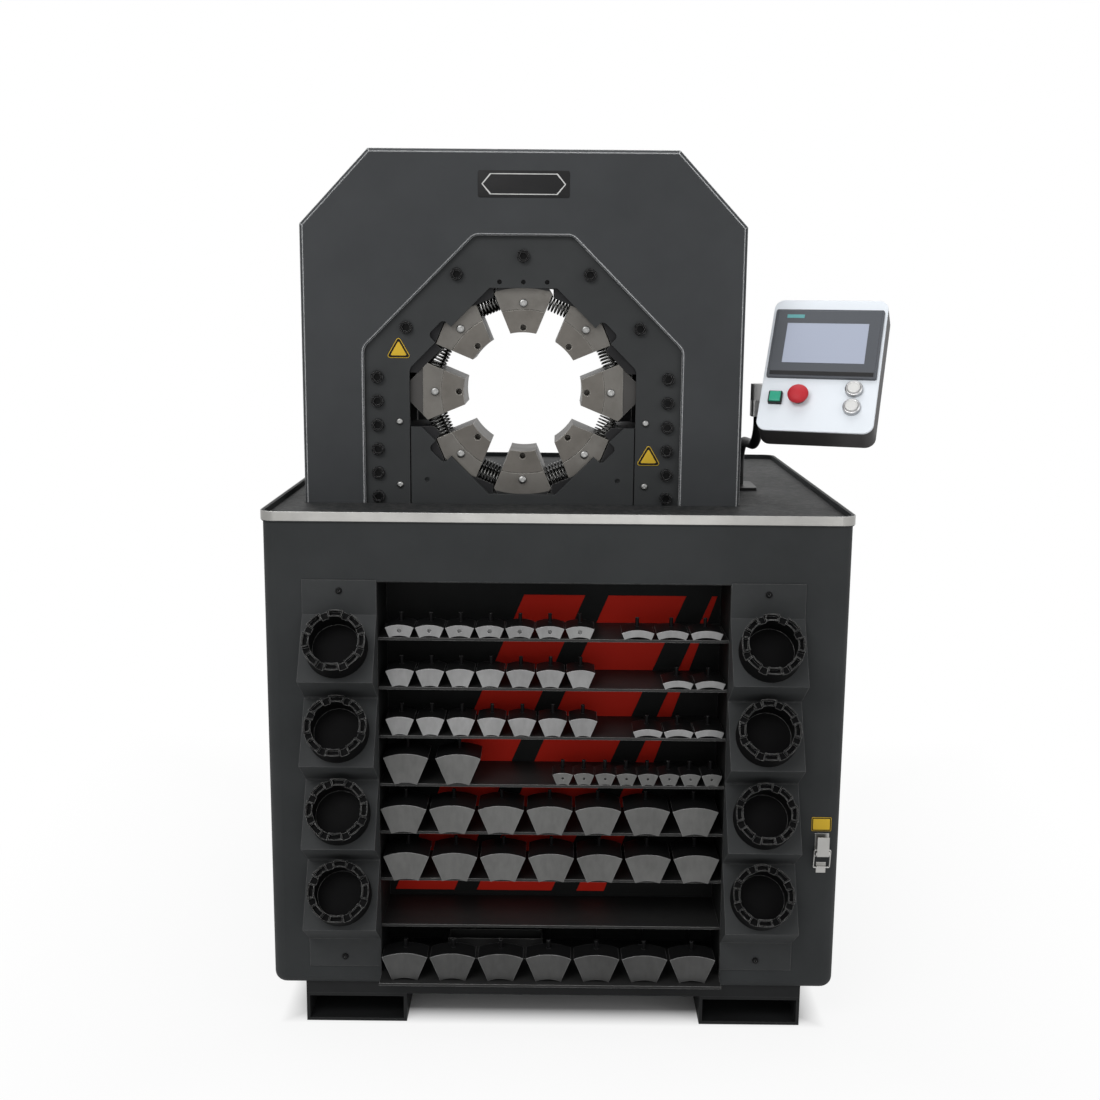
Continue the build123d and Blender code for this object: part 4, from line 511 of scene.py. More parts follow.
class Coats(Enum):
    """Every finish on the machine."""

    # The hood's near-white, almost unbroken edge colour is a painted highlight: a bright line
    # where its bevels catch the light.
    CHARCOAL = Finish("charcoal_powder_coat", (0.043, 0.0455, 0.048), 0.62, 0.12,
                      Edge(1.0, (0.62, 0.63, 0.64), 0.0032, 22.0, 0.9), dust=0.04, mottle=0.06)
    CABINET = Finish("cabinet_powder_coat", (0.027, 0.029, 0.03), 0.62,
                     edge=Edge(0.5, (0.16, 0.165, 0.17), even=0.4), dust=0.03, mottle=0.08)
    PLATE = Finish("head_plate_coat", (0.037, 0.039, 0.04), 0.6, 0.12,
                   Edge(0.6, (0.12, 0.12, 0.12), 0.0009, even=0.3), mottle=0.08)
    STATION = Finish("magazine_bracket_coat", (0.037, 0.039, 0.04), 0.6, 0.12,
                     Edge(0.8, (0.16, 0.16, 0.16), 0.0015, 10.0, 0.5))
    RAIL = Finish("foot_rail_black", (0.012, 0.0125, 0.013), 0.6,
                  edge=Edge(0.4, (0.1, 0.1, 0.1)))
    RACK_BLACK = Finish("rack_black", (0.011, 0.0115, 0.0115), 0.6, 0.08,
                        Edge(0.7, (0.16, 0.16, 0.16), 0.0015, even=0.5))
    # The shelves' pale, nearly unbroken edge colour is a painted highlight along their front
    # lips.
    SHELF = Finish("shelf_steel", (0.03, 0.03, 0.03), 0.5, 0.15,
                   Edge(0.9, (0.5, 0.5, 0.49), 0.0007, 14.0, 0.8), metallic=0.3)
    BAND = BrushedMetal("edge_band_steel", (0.36, 0.355, 0.34), 0.34,
                        edge=Edge(0.6, (0.85, 0.85, 0.83)), streaks=(6.0, 6.0, 900.0),
                        grain_strength=0.25)
    STORED = GroundDie("stored_die_steel", (0.27, 0.27, 0.27), 0.45,
                       edge=Edge(0.9, (0.6, 0.6, 0.6), 0.0013, 9.0, 0.5))
    STORED_DARK = GroundDie("stored_die_dark_steel", (0.075, 0.075, 0.074), 0.45,
                            edge=Edge(0.9, (0.4, 0.4, 0.4), 0.0013, 9.0, 0.5))
    STORED_MIDDLE = GroundDie("stored_die_middle_steel", (0.135, 0.135, 0.132), 0.45,
                              edge=Edge(0.9, (0.45, 0.45, 0.45), 0.0012, 9.0, 0.5))
    MASTER = OiledDie("master_die_steel", MASTER_STEEL, 0.45, edge=MASTER_WEAR)
    MASTER_NOSE = OiledDie("nosed_die_steel", MASTER_STEEL, 0.45, edge=MASTER_WEAR,
                           blacked=(0.045, 0.043, 0.041), blacked_from=0.1915, sideways=True)
    INSERT = OiledDie("insert_steel", (0.115, 0.106, 0.094), 0.43,
                      edge=Edge(0.95, (0.45, 0.43, 0.4), 0.0013, 9.0, 0.5))
    DIE_SCREW = BrushedMetal("die_screw_zinc", (0.26, 0.26, 0.255), 0.34,
                             edge=Edge(0.6, (0.6, 0.6, 0.59), 0.0006), streaks=EVEN_GRAIN,
                             grain_strength=0.04)
    SPRING = BrushedMetal("spring_wire", (0.13, 0.13, 0.125), 0.24, edge=NO_WEAR,
                          streaks=(120.0, 120.0, 120.0), grain_strength=0.05)
    # The black screws' pale, unbroken edge colour is a painted highlight: bright rims on the
    # screw heads and the die pins.
    BLACK_OXIDE = Finish("blacked_screw_steel", (0.0035, 0.0035, 0.0038), 0.42, 0.08,
                         Edge(0.95, (0.26, 0.26, 0.26), 0.0005, 12.0, 1.0), grain_strength=0.03)
    FORGED = Finish("dark_press_steel", (0.016, 0.016, 0.017), 0.45,
                    edge=Edge(0.6, (0.22, 0.22, 0.21)), metallic=0.4)
    CHROME = BrushedMetal("hard_chrome", (0.55, 0.55, 0.56), 0.12, edge=NO_WEAR,
                          streaks=(300.0, 300.0, 5.0), grain_strength=0.02)
    CASTING = Finish("motor_casting", (0.06, 0.065, 0.07), 0.6, grain_strength=0.4,
                     grain_scale=400.0)
    MAT = FlutedRubber("fluted_rubber", (0.02, 0.021, 0.022), 0.55, edge=Edge(0.15),
                       grain_strength=0.9, grain_depth=0.0012, dust=0.1)
    # The rings' pale edge colour is a painted highlight along their rims and lugs, on black
    # plastic.
    RING = Finish("moulded_ring_plastic", (0.0035, 0.0035, 0.0037), 0.6, 0.04,
                  Edge(1.0, (0.5, 0.5, 0.49), 0.0007, 12.0, 0.6), grain_strength=0.05,
                  mottle=0.04)
    PANEL = Finish("panel_silver", (0.7, 0.74, 0.785), 0.45, 0.3,
                   Edge(0.4, (0.88, 0.9, 0.93), 0.003), mottle=0.02)
    HOUSING = Finish("panel_housing_grey", (0.042, 0.04, 0.04), 0.5,
                     edge=Edge(0.5, (0.3, 0.3, 0.3), 0.002, even=0.5))
    BEZEL = Finish("screen_bezel_grey", (0.075, 0.081, 0.092), 0.4, 0.2,
                   Edge(0.4, (0.2, 0.21, 0.23)), mottle=0.04)
    GLASS_BLACK = Finish("screen_black_glass", (0.012, 0.012, 0.013), 0.2, 0.3, NO_WEAR,
                         grain_strength=0.0, mottle=0.03)
    DISPLAY = LitScreen("screen_display", (0.31, 0.34, 0.42), 0.3, 0.3, NO_WEAR,
                        grain_strength=0.0, mottle=0.0, glow=0.12)
    TEAL = Finish("status_bar_teal", (0.12, 0.33, 0.34), 0.3, edge=NO_WEAR, mottle=0.02)
    DARK_PLASTIC = Finish("dark_moulded_plastic", (0.012, 0.012, 0.013), 0.4,
                          edge=Edge(0.5, (0.2, 0.2, 0.2)))
    RED = Finish("red_mushroom", (0.45, 0.022, 0.032), 0.5, 0.2, Edge(0.3, (0.6, 0.15, 0.17)),
                 grain_strength=0.02, mottle=0.05)
    GREEN = LitScreen("green_lens", (0.02, 0.3, 0.19), 0.3, 0.3, Edge(0.6, (0.3, 0.65, 0.52)),
                      grain_strength=0.02, mottle=0.05, glow=0.06)
    WHITE = Finish("white_cap", (0.62, 0.62, 0.61), 0.4, 0.3, Edge(0.3, (0.8, 0.8, 0.8)),
                   grain_strength=0.03, mottle=0.03)
    RING_METAL = BrushedMetal("button_ring_metal", (0.42, 0.42, 0.425), 0.28,
                              edge=Edge(0.5, (0.8, 0.8, 0.8)), streaks=EVEN_GRAIN,
                              grain_strength=0.04)
    ARM = Finish("arm_black", (0.008, 0.008, 0.0085), 0.4, edge=Edge(0.5, (0.16, 0.16, 0.16)))
    KNUCKLE = Finish("knuckle_casting", (0.55, 0.55, 0.55), 0.35, 0.5,
                     Edge(0.6, (0.8, 0.8, 0.8)), metallic=0.9, grain_scale=500.0)
    LATCH = BrushedMetal("latch_steel", (0.42, 0.415, 0.4), 0.3,
                         edge=Edge(0.8, (0.75, 0.75, 0.73), 0.0008, 9.0),
                         streaks=(300.0, 300.0, 40.0), grain_strength=0.1)
    YELLOW = Finish("yellow_plate", (0.58, 0.38, 0.03), 0.5, edge=NO_WEAR, grain_strength=0.05,
                    mottle=0.04)
    BLACK_INK = Finish("black_border", (0.008, 0.008, 0.008), 0.5, 0.1, NO_WEAR,
                       grain_strength=0.05)
    NAMEPLATE = Finish("nameplate_black", (0.006, 0.006, 0.0065), 0.5, 0.2,
                       Edge(0.3, radius=0.0003), grain_strength=0.03)
    NAMEPLATE_RIM = Finish("nameplate_rim", (0.62, 0.62, 0.61), 0.4, 0.3, NO_WEAR,
                           grain_strength=0.03)
    # This red is set brighter than the vinyl's own colour, a painted lightening that makes up for
    # the shade inside the rack.
    RED_VINYL = Finish("red_vinyl", (0.6, 0.022, 0.011), 0.6, 0.08, NO_WEAR,
                       grain_strength=0.05, mottle=0.04)

    @cache
    def material(self) -> bpy.types.Material:
        """The material of this finish, built the first time it is asked for."""
        return self.value.build()


# ------------------------------------------------------------------ meshes from arrays
def grid_mesh(name: str, points: np.ndarray, wrap_u: bool = False, wrap_v: bool = False,
              flip: bool = False, caps: bool = False) -> Piece:
    """Make a smooth mesh from a grid of points.

    Args:
        name: the piece's name.
        points: an array of rows by columns by three, in metres.
        wrap_u: join the last row to the first.
        wrap_v: join the last column to the first.
        flip: turn the faces round.
        caps: close the first row and the last row with one face each.

    Returns:
        The new object, linked to the scene.
    """
    rows, columns = points.shape[:2]
    index = np.arange(rows * columns).reshape(rows, columns)
    below = np.roll(index, -1, axis=0) if wrap_u else index[1:]
    above = index if wrap_u else index[:-1]
    if wrap_v:
        corners = (above, np.roll(above, -1, axis=1), np.roll(below, -1, axis=1), below)
    else:
        corners = (above[:, :-1], above[:, 1:], below[:, 1:], below[:, :-1])
    quads = np.stack([corner.ravel() for corner in corners], axis=1)
    first, last = index[0][::-1], index[-1]
    if flip:
        quads, first, last = quads[:, ::-1], first[::-1], last[::-1]
    faces = quads.tolist()
    if caps:
        faces += [first.tolist(), last.tolist()]
    return mesh_piece(name, points.reshape(-1, 3), faces, smooth=True)


def mesh_piece(name: str, points: np.ndarray, faces: list[list[int]],
               smooth: bool = False) -> Piece:
    """Make an object from points and faces, and link it to the scene.

    Args:
        name: the piece's name.
        points: an array of points by three, in metres.
        faces: lists of point numbers.
        smooth: shade the faces smooth.

    Returns:
        The new object.
    """
    mesh = bpy.data.meshes.new(name)
    mesh.from_pydata(points.tolist(), [], faces)
    mesh.polygons.foreach_set("use_smooth", [smooth] * len(mesh.polygons))
    mesh.update()
    obj = bpy.data.objects.new(name, mesh)
    bpy.context.scene.collection.objects.link(obj)
    return obj


def soften(obj: Piece, angle: float = 35.0) -> None:
    """Shade a mesh smooth except across edges sharper than an angle."""
    mesh = obj.data
    mesh.polygons.foreach_set("use_smooth", [True] * len(mesh.polygons))
    mesh.set_sharp_from_angle(angle=math.radians(angle))


def dress(obj: Piece, coat: Coats, body: str, slot: str, *nodes: str) -> None:
    """Give a new piece its finish and its body, and hide the CAD nodes that it stands for.

    Args:
        obj: the new piece.
        coat: its finish.
        body: the CAD body that it rides on.
        slot: the record's material slot; not used.
        nodes: CAD nodes that it replaces.
    """
    obj.data.materials.append(coat.material())
    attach(obj, body)
    if nodes:
        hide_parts(*nodes)
    LOG.info("piece %s: %d faces on %s", obj.name, len(obj.data.polygons), body)


@dataclass
class Seat:
    """A place on the machine: an origin and three unit directions."""

    origin: np.ndarray
    right: np.ndarray
    up: np.ndarray
    out: np.ndarray

    @classmethod
    def facing_front(cls, x: float, y: float, z: float) -> Seat:
        """A seat on an upright face that looks at the operator."""
        return cls(np.array([x, y, z]), np.array([1.0, 0, 0]), np.array([0, 0, 1.0]),
                   np.array([0, -1.0, 0]))

    def place(self, local: np.ndarray) -> np.ndarray:
        """Move points from this seat's own axes into the machine's frame."""
        return (self.origin + local[..., :1] * self.right + local[..., 1:2] * self.up
                + local[..., 2:] * self.out)


def turned(name: str, seat: Seat, profile: Profile, sides: int = 64,
           angle: float = 30.0) -> Piece:
    """A turned piece: a profile of (radius, height) carried round the seat's outward axis.

    Each point is radius times the cosine and sine of the turn, with its height along the axis.
    A closed profile, whose last point is its first, makes a ring; an open one is closed with
    flat caps.

    Returns:
        The new object.
    """
    line = np.array(profile)
    closed = bool(np.allclose(line[0], line[-1]))
    if closed:
        line = line[:-1]
    turn = np.linspace(0.0, 2 * math.pi, sides, endpoint=False)
    local = np.empty((len(line), sides, 3))
    local[..., 0] = line[:, :1] * np.cos(turn)
    local[..., 1] = line[:, :1] * np.sin(turn)
    local[..., 2] = line[:, 1:]
    obj = grid_mesh(name, seat.place(local), wrap_u=closed, wrap_v=True, caps=not closed)
    soften(obj, angle)
    return obj


def rounded_loop(half_x: float, half_y: float, radius: float, steps: int = 6) -> np.ndarray:
    """The points of a round-cornered rectangle, anticlockwise.

    Each corner is a quarter circle of the radius about a centre drawn in from both sides.

    Returns:
        An array of points by two.
    """
    quarter = np.linspace(0.0, math.pi / 2, steps + 1)
    corners = []
    for index, (sx, sy) in enumerate(((1, 1), (-1, 1), (-1, -1), (1, -1))):
        angle = quarter + index * math.pi / 2
        centre = np.array([sx * (half_x - radius), sy * (half_y - radius)])
        corners.append(centre + radius * np.stack([np.cos(angle), np.sin(angle)], axis=1))
    return np.concatenate(corners)


def at_heights(loops: list[tuple[np.ndarray, float]]) -> np.ndarray:
    """Flat outlines of equal length lifted to their heights; returns loops by points by three."""
    return np.stack([np.column_stack([loop, np.full(len(loop), height)])
                     for loop, height in loops])


def layered(name: str, seat: Seat, loops: list[tuple[np.ndarray, float]],
            angle: float = 30.0) -> Piece:
    """A block from equal-length loops at rising heights, closed at both ends.

    Args:
        name: the piece's name.
        seat: where it stands.
        loops: pairs of an outline, points by two, and its height.
        angle: edges sharper than this stay sharp.

    Returns:
        The new object.
    """
    obj = grid_mesh(name, seat.place(at_heights(loops)), wrap_v=True, caps=True)
    soften(obj, angle)
    return obj


def thin_plate(name: str, seat: Seat, half: Pair, radius: float, thickness: float) -> Piece:
    """A round-cornered rectangle of one thickness; returns the new object."""
    loop = rounded_loop(*half, radius)
    return layered(name, seat, [(loop, 0.0), (loop, thickness)])


def frame_strip(name: str, seat: Seat, outer: np.ndarray, inner: np.ndarray, low: float,
                high: float) -> Piece:
    """A flat raised border between two loops of equal length.

    The section is a rectangle from the inner to the outer loop, carried round the loops.

    Returns:
        The new object.
    """
    section = [(outer, low), (outer, high), (inner, high), (inner, low)]
    obj = grid_mesh(name, seat.place(at_heights(section)), wrap_u=True, wrap_v=True)
    soften(obj)
    return obj


def slabs(name: str, outlines: list[np.ndarray], front: float, back: float) -> Piece:
    """Thin upright plates, one for each outline of (x, z) points, between two depths.

    Each outline is drawn anticlockwise as seen from the front, and its points are repeated at
    the back.

    Returns:
        The new object.
    """
    points, faces, first = [], [], 0
    for loop in outlines:
        count = len(loop)
        for depth in (front, back):
            points.append(np.column_stack([loop[:, 0], np.full(count, depth), loop[:, 1]]))
        near = list(range(first, first + count))
        far = list(range(first + count, first + 2 * count))
        faces.append(near)
        faces.append(far[::-1])
        faces += [[near[i - 1], far[i - 1], far[i], near[i]] for i in range(count)]
        first += 2 * count
    return mesh_piece(name, np.concatenate(points), faces)


# ------------------------------------------------------------------ sub-assemblies
@dataclass
class Castings:
    """The finishes of the construction's own nodes."""

    coats: dict[str, Coats] = field(default_factory=lambda: {
        "foot_rails": Coats.RAIL, "base_frame": Coats.RAIL, "cabinet_shell": Coats.CABINET,
        "rear_panel": Coats.CABINET, "rack_box": Coats.RACK_BLACK, "rack_shelves": Coats.SHELF,
        "magazine_brackets": Coats.STATION, "die_magazines": Coats.RING,
        "stored_dies_upper": Coats.STORED, "stored_dies_middle": Coats.STORED_MIDDLE,
        "stored_dies_floor": Coats.STORED_DARK, "stored_die_pins": Coats.BLACK_OXIDE,
        "worktop_tray": Coats.CABINET, "tray_edge_band": Coats.BAND, "tray_mat": Coats.MAT,
        "front_screws": Coats.BLACK_OXIDE, "hood": Coats.CHARCOAL, "press_frame": Coats.FORGED,
        "guide_plates": Coats.PLATE, "cylinder": Coats.FORGED, "lower_yoke": Coats.FORGED,
        "yoke_plates": Coats.PLATE, "ram": Coats.CHROME, "oil_tank": Coats.CABINET,
        "power_pack": Coats.CASTING, "panel_post": Coats.ARM, "swivel_base": Coats.KNUCKLE,
        "swivel_arm": Coats.KNUCKLE, "panel_housing": Coats.HOUSING, "panel_front": Coats.PANEL,
        "touch_screen": Coats.BEZEL, "latch_base": Coats.LATCH, "latch_lever": Coats.LATCH,
        "latch_bail": Coats.LATCH,
        **{f"master_die_{number}": Coats.MASTER_NOSE if number in (3, 7) else Coats.MASTER
           for number in range(1, 9)},
        **{f"die_insert_{number}": Coats.INSERT for number in range(1, 9)},
    })

    def dress(self, nodes: dict[str, Piece]) -> None:
        """Put each node's finish in its material slots."""
        for name, coat in self.coats.items():
            obj = nodes[name]
            if not obj.material_slots:
                obj.data.materials.append(coat.material())
            for slot in obj.material_slots:
                slot.material = coat.material()
            LOG.info("node %s: %s", name, coat.value.name)


@dataclass
class ReturnSprings:
    """The sixteen springs that push the dies apart.

    Radius is where they sit from the head's axis, and reach is half a spring's length.
    """

    radius: float = 0.176
    reach: float = 0.0419
    coil_radius: float = 0.014
    wire: float = 0.0015
    turns: float = 14.0
    closed_turns: float = 0.8
    even_rise: float = 0.08
    steps_per_turn: int = 22
    wire_sides: int = 8
    closed_share: float = 0.54
    depths: Pair = (-0.2755, -0.1785)
    carriers: dict[str, tuple[str, float, Pair]] = field(default_factory=lambda: {
        "springs_top": ("frame", 90.0, (67.5, 112.5)),
        "springs_right": ("die_3", 0.0, (-22.5, 22.5)),
        "springs_bottom": ("yoke", 270.0, (247.5, 292.5)),
        "springs_left": ("die_7", 180.0, (157.5, 202.5)),
    })

    def build(self) -> None:
        """Make each spring, seated on its carrying die."""
        for node, (body, carrier, rays) in self.carriers.items():
            for ray in rays:
                toward = math.copysign(1.0, math.sin(math.radians(carrier - ray)))
                for number, depth in enumerate(self.depths):
                    self._one(node, body, ray, toward, number, depth)

    def _one(self, node: str, body: str, ray: float, toward: float, number: int,
             depth: float) -> None:
        """Make one spring on a gap ray; its anchored end lies on the carrying die's side."""
        angle = math.radians(ray)
        along = np.array([math.cos(angle), 0.0, math.sin(angle)])
        across = np.array([-math.sin(angle), 0.0, math.cos(angle)]) * toward
        centre = np.array([HEAD_CENTRE[0], depth, HEAD_CENTRE[1]]) + self.radius * along
        anchored = centre + self.reach * across
        tenths = round(ray * 10) % (FULL_TURN * 10)
        obj = self._coil(f"return_spring_{tenths:04d}_{number}", anchored,
                         centre - self.reach * across)
        dress(obj, Coats.SPRING, body, "spring_steel", node)
        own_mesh(obj)

    def _coil(self, name: str, start: np.ndarray, end: np.ndarray) -> Piece:
        """A compression spring between two points.

        The path is a helix about the line from start to end. The pitch closes up over the
        closed turns at both ends, so that they lie flat. A circle of the wire's radius is
        carried along the path.

        Returns:
            The new object.
        """
        axis = end - start
        length = np.linalg.norm(axis)
        axis = axis / length
        side = np.cross(axis, (0.0, 1.0, 0.0))
        side = side / np.linalg.norm(side)
        other = np.cross(axis, side)
        share = np.linspace(0.0, 1.0, int(self.turns * self.steps_per_turn) + 1)
        dead = self.closed_turns * (1.0 / self.turns)
        ramp = np.clip((share - dead) / (1 - 2 * dead), 0.0, 1.0)
        rise = self.wire + (length - 2 * self.wire) * (
            (1 - self.even_rise) * ramp + self.even_rise * share)
        turn = share * self.turns * 2 * math.pi
        radial = np.cos(turn)[:, None] * side + np.sin(turn)[:, None] * other
        centre = start + rise[:, None] * axis + self.coil_radius * radial
        ring = np.linspace(0.0, 2 * math.pi, self.wire_sides, endpoint=False)[None, :, None]
        tube = (centre[:, None] + self.wire * np.cos(ring) * radial[:, None]
                + self.wire * np.sin(ring) * axis)
        return grid_mesh(name, tube, wrap_v=True, caps=True, flip=True)


@dataclass
class HeadScrews:
    """The bright domed screws in the dies, and four small ones beside the yoke."""

    die_front: float = -0.2955
    die_reach: float = 0.169
    side_reach: float = 0.236
    side_drops: Pair = (0.057, 0.179)
    sides: int = 32
    sharp_angle: float = 50.0
    die_bodies: tuple[str, ...] = ("frame", "die_2", "die_3", "die_4", "yoke", "die_6", "die_7",
                                   "die_8")
    die_profile: Profile = (
        (0.0079, 0.0), (0.0079, 0.0036), (0.0072, 0.0049), (0.0058, 0.0057), (0.0034, 0.0061),
        (0.003, 0.0061), (0.003, 0.0056), (0.0004, 0.0056))
    side_profile: Profile = (
        (0.0064, 0.0), (0.0064, 0.0022), (0.0055, 0.0037), (0.0036, 0.0045), (0.0024, 0.0045),
        (0.0024, 0.0042), (0.0004, 0.0042))

    def _screw(self, name: str, x: float, y: float, z: float, profile: Profile,
               body: str) -> None:
        """Make one screw, seen from the front, at a place on a body."""
        obj = turned(name, Seat.facing_front(x, y, z), profile, self.sides, self.sharp_angle)
        dress(obj, Coats.DIE_SCREW, body, "bright_zinc")

    def build(self) -> None:
        """Make each screw on the body that it is turned into."""
        x, z = HEAD_CENTRE
        step = FULL_TURN / len(self.die_bodies)
        for number, body in enumerate(self.die_bodies, start=1):
            angle = math.radians(90 - step * (number - 1))
            self._screw(f"die_screw_{number}", x + self.die_reach * math.cos(angle),
                        self.die_front, z + self.die_reach * math.sin(angle),
                        self.die_profile, body)
        for side, name in ((-1, "left"), (1, "right")):
            for row, drop in enumerate(self.side_drops, start=1):
                self._screw(f"side_screw_{name}_{row}", x + side * self.side_reach, PLATE_FRONT,
                            z - drop, self.side_profile, "frame")


@dataclass
class Plates:
    """The bare name plate, the bare yellow plates and the red bands behind the rack.

    An outline of the name plate or the latch plate is its half width, half height and corner
    radius. An outline of a triangle is how far it lies inside the plate's edge and its corner
    radius. Levels are heights above the face that carries the plate.
    """

    name_at: tuple[float, float, float] = (-0.0688, -0.320, 1.5935)
    name_edge: tuple[float, float, float] = (0.0855, 0.0245, 0.004)
    name_inset: tuple[float, float, float] = (0.0848, 0.0238, 0.0035)
    name_levels: Pair = (0.0007, 0.001)
    rim_half: Pair = (0.0787, 0.0191)
    rim_width: Pair = (0.0026, 0.0016)
    rim_shoulder: float = 0.8
    rim_levels: Pair = (0.0008, 0.00135)
    triangles: dict[str, Pair] = field(default_factory=lambda: {
        "left": (-0.306, 1.285), "right": (0.174, 1.083)})
    triangle_reach: float = 0.021
    triangle_stretch: float = 1.12
    triangle_edge: Pair = (0.0, 0.004)
    triangle_inset: Pair = (0.0005, 0.0035)
    triangle_levels: Pair = (0.0006, 0.0009)
    border_outer: Pair = (0.0012, 0.003)
    border_inner: Pair = (0.0062, 0.0018)
    border_levels: Pair = (0.0008, 0.00115)
    latch_at: tuple[float, float, float] = (0.501, -0.500, 0.418)
    latch_half: Pair = (0.0185, 0.0135)
    latch_corner: float = 0.002
    latch_thickness: float = 0.0008
    latch_border_outer: tuple[float, float, float] = (0.0176, 0.0126, 0.0015)
    latch_border_inner: tuple[float, float, float] = (0.0158, 0.0108, 0.001)
    latch_border_levels: Pair = (0.0007, 0.001)
    bands: tuple[Pair, ...] = ((-0.318, -0.20), (-0.155, -0.005), (0.045, 0.10))
    band_heights: Pair = (0.215, 0.822)
    band_slope: float = 0.42
    band_limits: Pair = (0.30, 0.31)
    band_depths: Pair = (-0.3548, -0.3541)

    def name_plate(self) -> None:
        """A black lacquered plate with a thin bright six-sided rim, bare inside."""
        seat = Seat.facing_front(*self.name_at)
        edge = rounded_loop(*self.name_edge)
        low, high = self.name_levels
        plate = layered("name_plate", seat, [(edge, 0.0), (edge, low),
                                             (rounded_loop(*self.name_inset), high)])
        dress(plate, Coats.NAMEPLATE, "frame", "yellow_paint", "label_plates")
        shoulder = self.rim_shoulder
        line = np.array([(1.0, 0.0), (shoulder, 1.0), (-shoulder, 1.0), (-1.0, 0.0),
                         (-shoulder, -1.0), (shoulder, -1.0)])
        outer = line * self.rim_half
        rim = frame_strip("name_plate_rim", seat, outer, outer - line * self.rim_width,
                          *self.rim_levels)
        dress(rim, Coats.NAMEPLATE_RIM, "frame", "bright_zinc")

    def yellow_plates(self) -> None:
        """Three yellow plates with a thin black border, otherwise bare."""
        low, high = self.triangle_levels
        for name, (x, z) in self.triangles.items():
            seat = Seat.facing_front(x, PLATE_FRONT, z)
            edge = self._triangle(*self.triangle_edge)
            plate = layered(f"warning_plate_{name}", seat, [
                (edge, 0.0), (edge, low), (self._triangle(*self.triangle_inset), high)])
            dress(plate, Coats.YELLOW, "frame", "yellow_paint", "label_plates")
            border = frame_strip(f"warning_border_{name}", seat,
                                 self._triangle(*self.border_outer),
                                 self._triangle(*self.border_inner), *self.border_levels)
            dress(border, Coats.BLACK_INK, "frame", "black_rubber")
        seat = Seat.facing_front(*self.latch_at)
        plate = thin_plate("latch_plate", seat, self.latch_half, self.latch_corner,
                           self.latch_thickness)
        dress(plate, Coats.YELLOW, "frame", "yellow_paint", "label_plates")
        border = frame_strip("latch_plate_border", seat, rounded_loop(*self.latch_border_outer),
                             rounded_loop(*self.latch_border_inner), *self.latch_border_levels)
        dress(border, Coats.BLACK_INK, "frame", "black_rubber")

    def _triangle(self, inset: float, radius: float, steps: int = 6) -> np.ndarray:
        """A triangle with its point up and round corners, anticlockwise; returns its points.

        Each corner is an arc of a third of a turn about a centre at the given reach.
        """
        reach = self.triangle_reach - inset
        loops = []
        for index in range(3):
            middle = math.radians(90 + 120 * index)
            centre = (reach - radius) * np.array([math.cos(middle), math.sin(middle)])
            angle = middle + np.linspace(-math.pi / 3, math.pi / 3, steps + 1)
            loops.append(centre + radius * np.stack([np.cos(angle), np.sin(angle)], axis=1))
        return np.concatenate(loops) * self.triangle_stretch

    def rack_bands(self) -> None:
        """Broad slanting red bands on the rack's back wall, cut off at its edges.

        A band is a parallelogram: its foot is a stretch of the lower edge, and its top is the
        same stretch moved along the slope.
        """
        low, high = self.band_heights
        lean = self.band_slope * (high - low)
        left_limit, right_limit = self.band_limits
        outlines = [np.array([(left, low), (right, low), (min(right + lean, right_limit), high),
                              (min(left + lean, left_limit), high)])
                    for left, right in self.bands]
        obj = slabs("rack_red_bands", outlines, *self.band_depths)
        dress(obj, Coats.RED_VINYL, "frame", "red_plastic")

    def build(self) -> None:
        """Make every plate and band."""
        self.name_plate()
        self.yellow_plates()
        self.rack_bands()


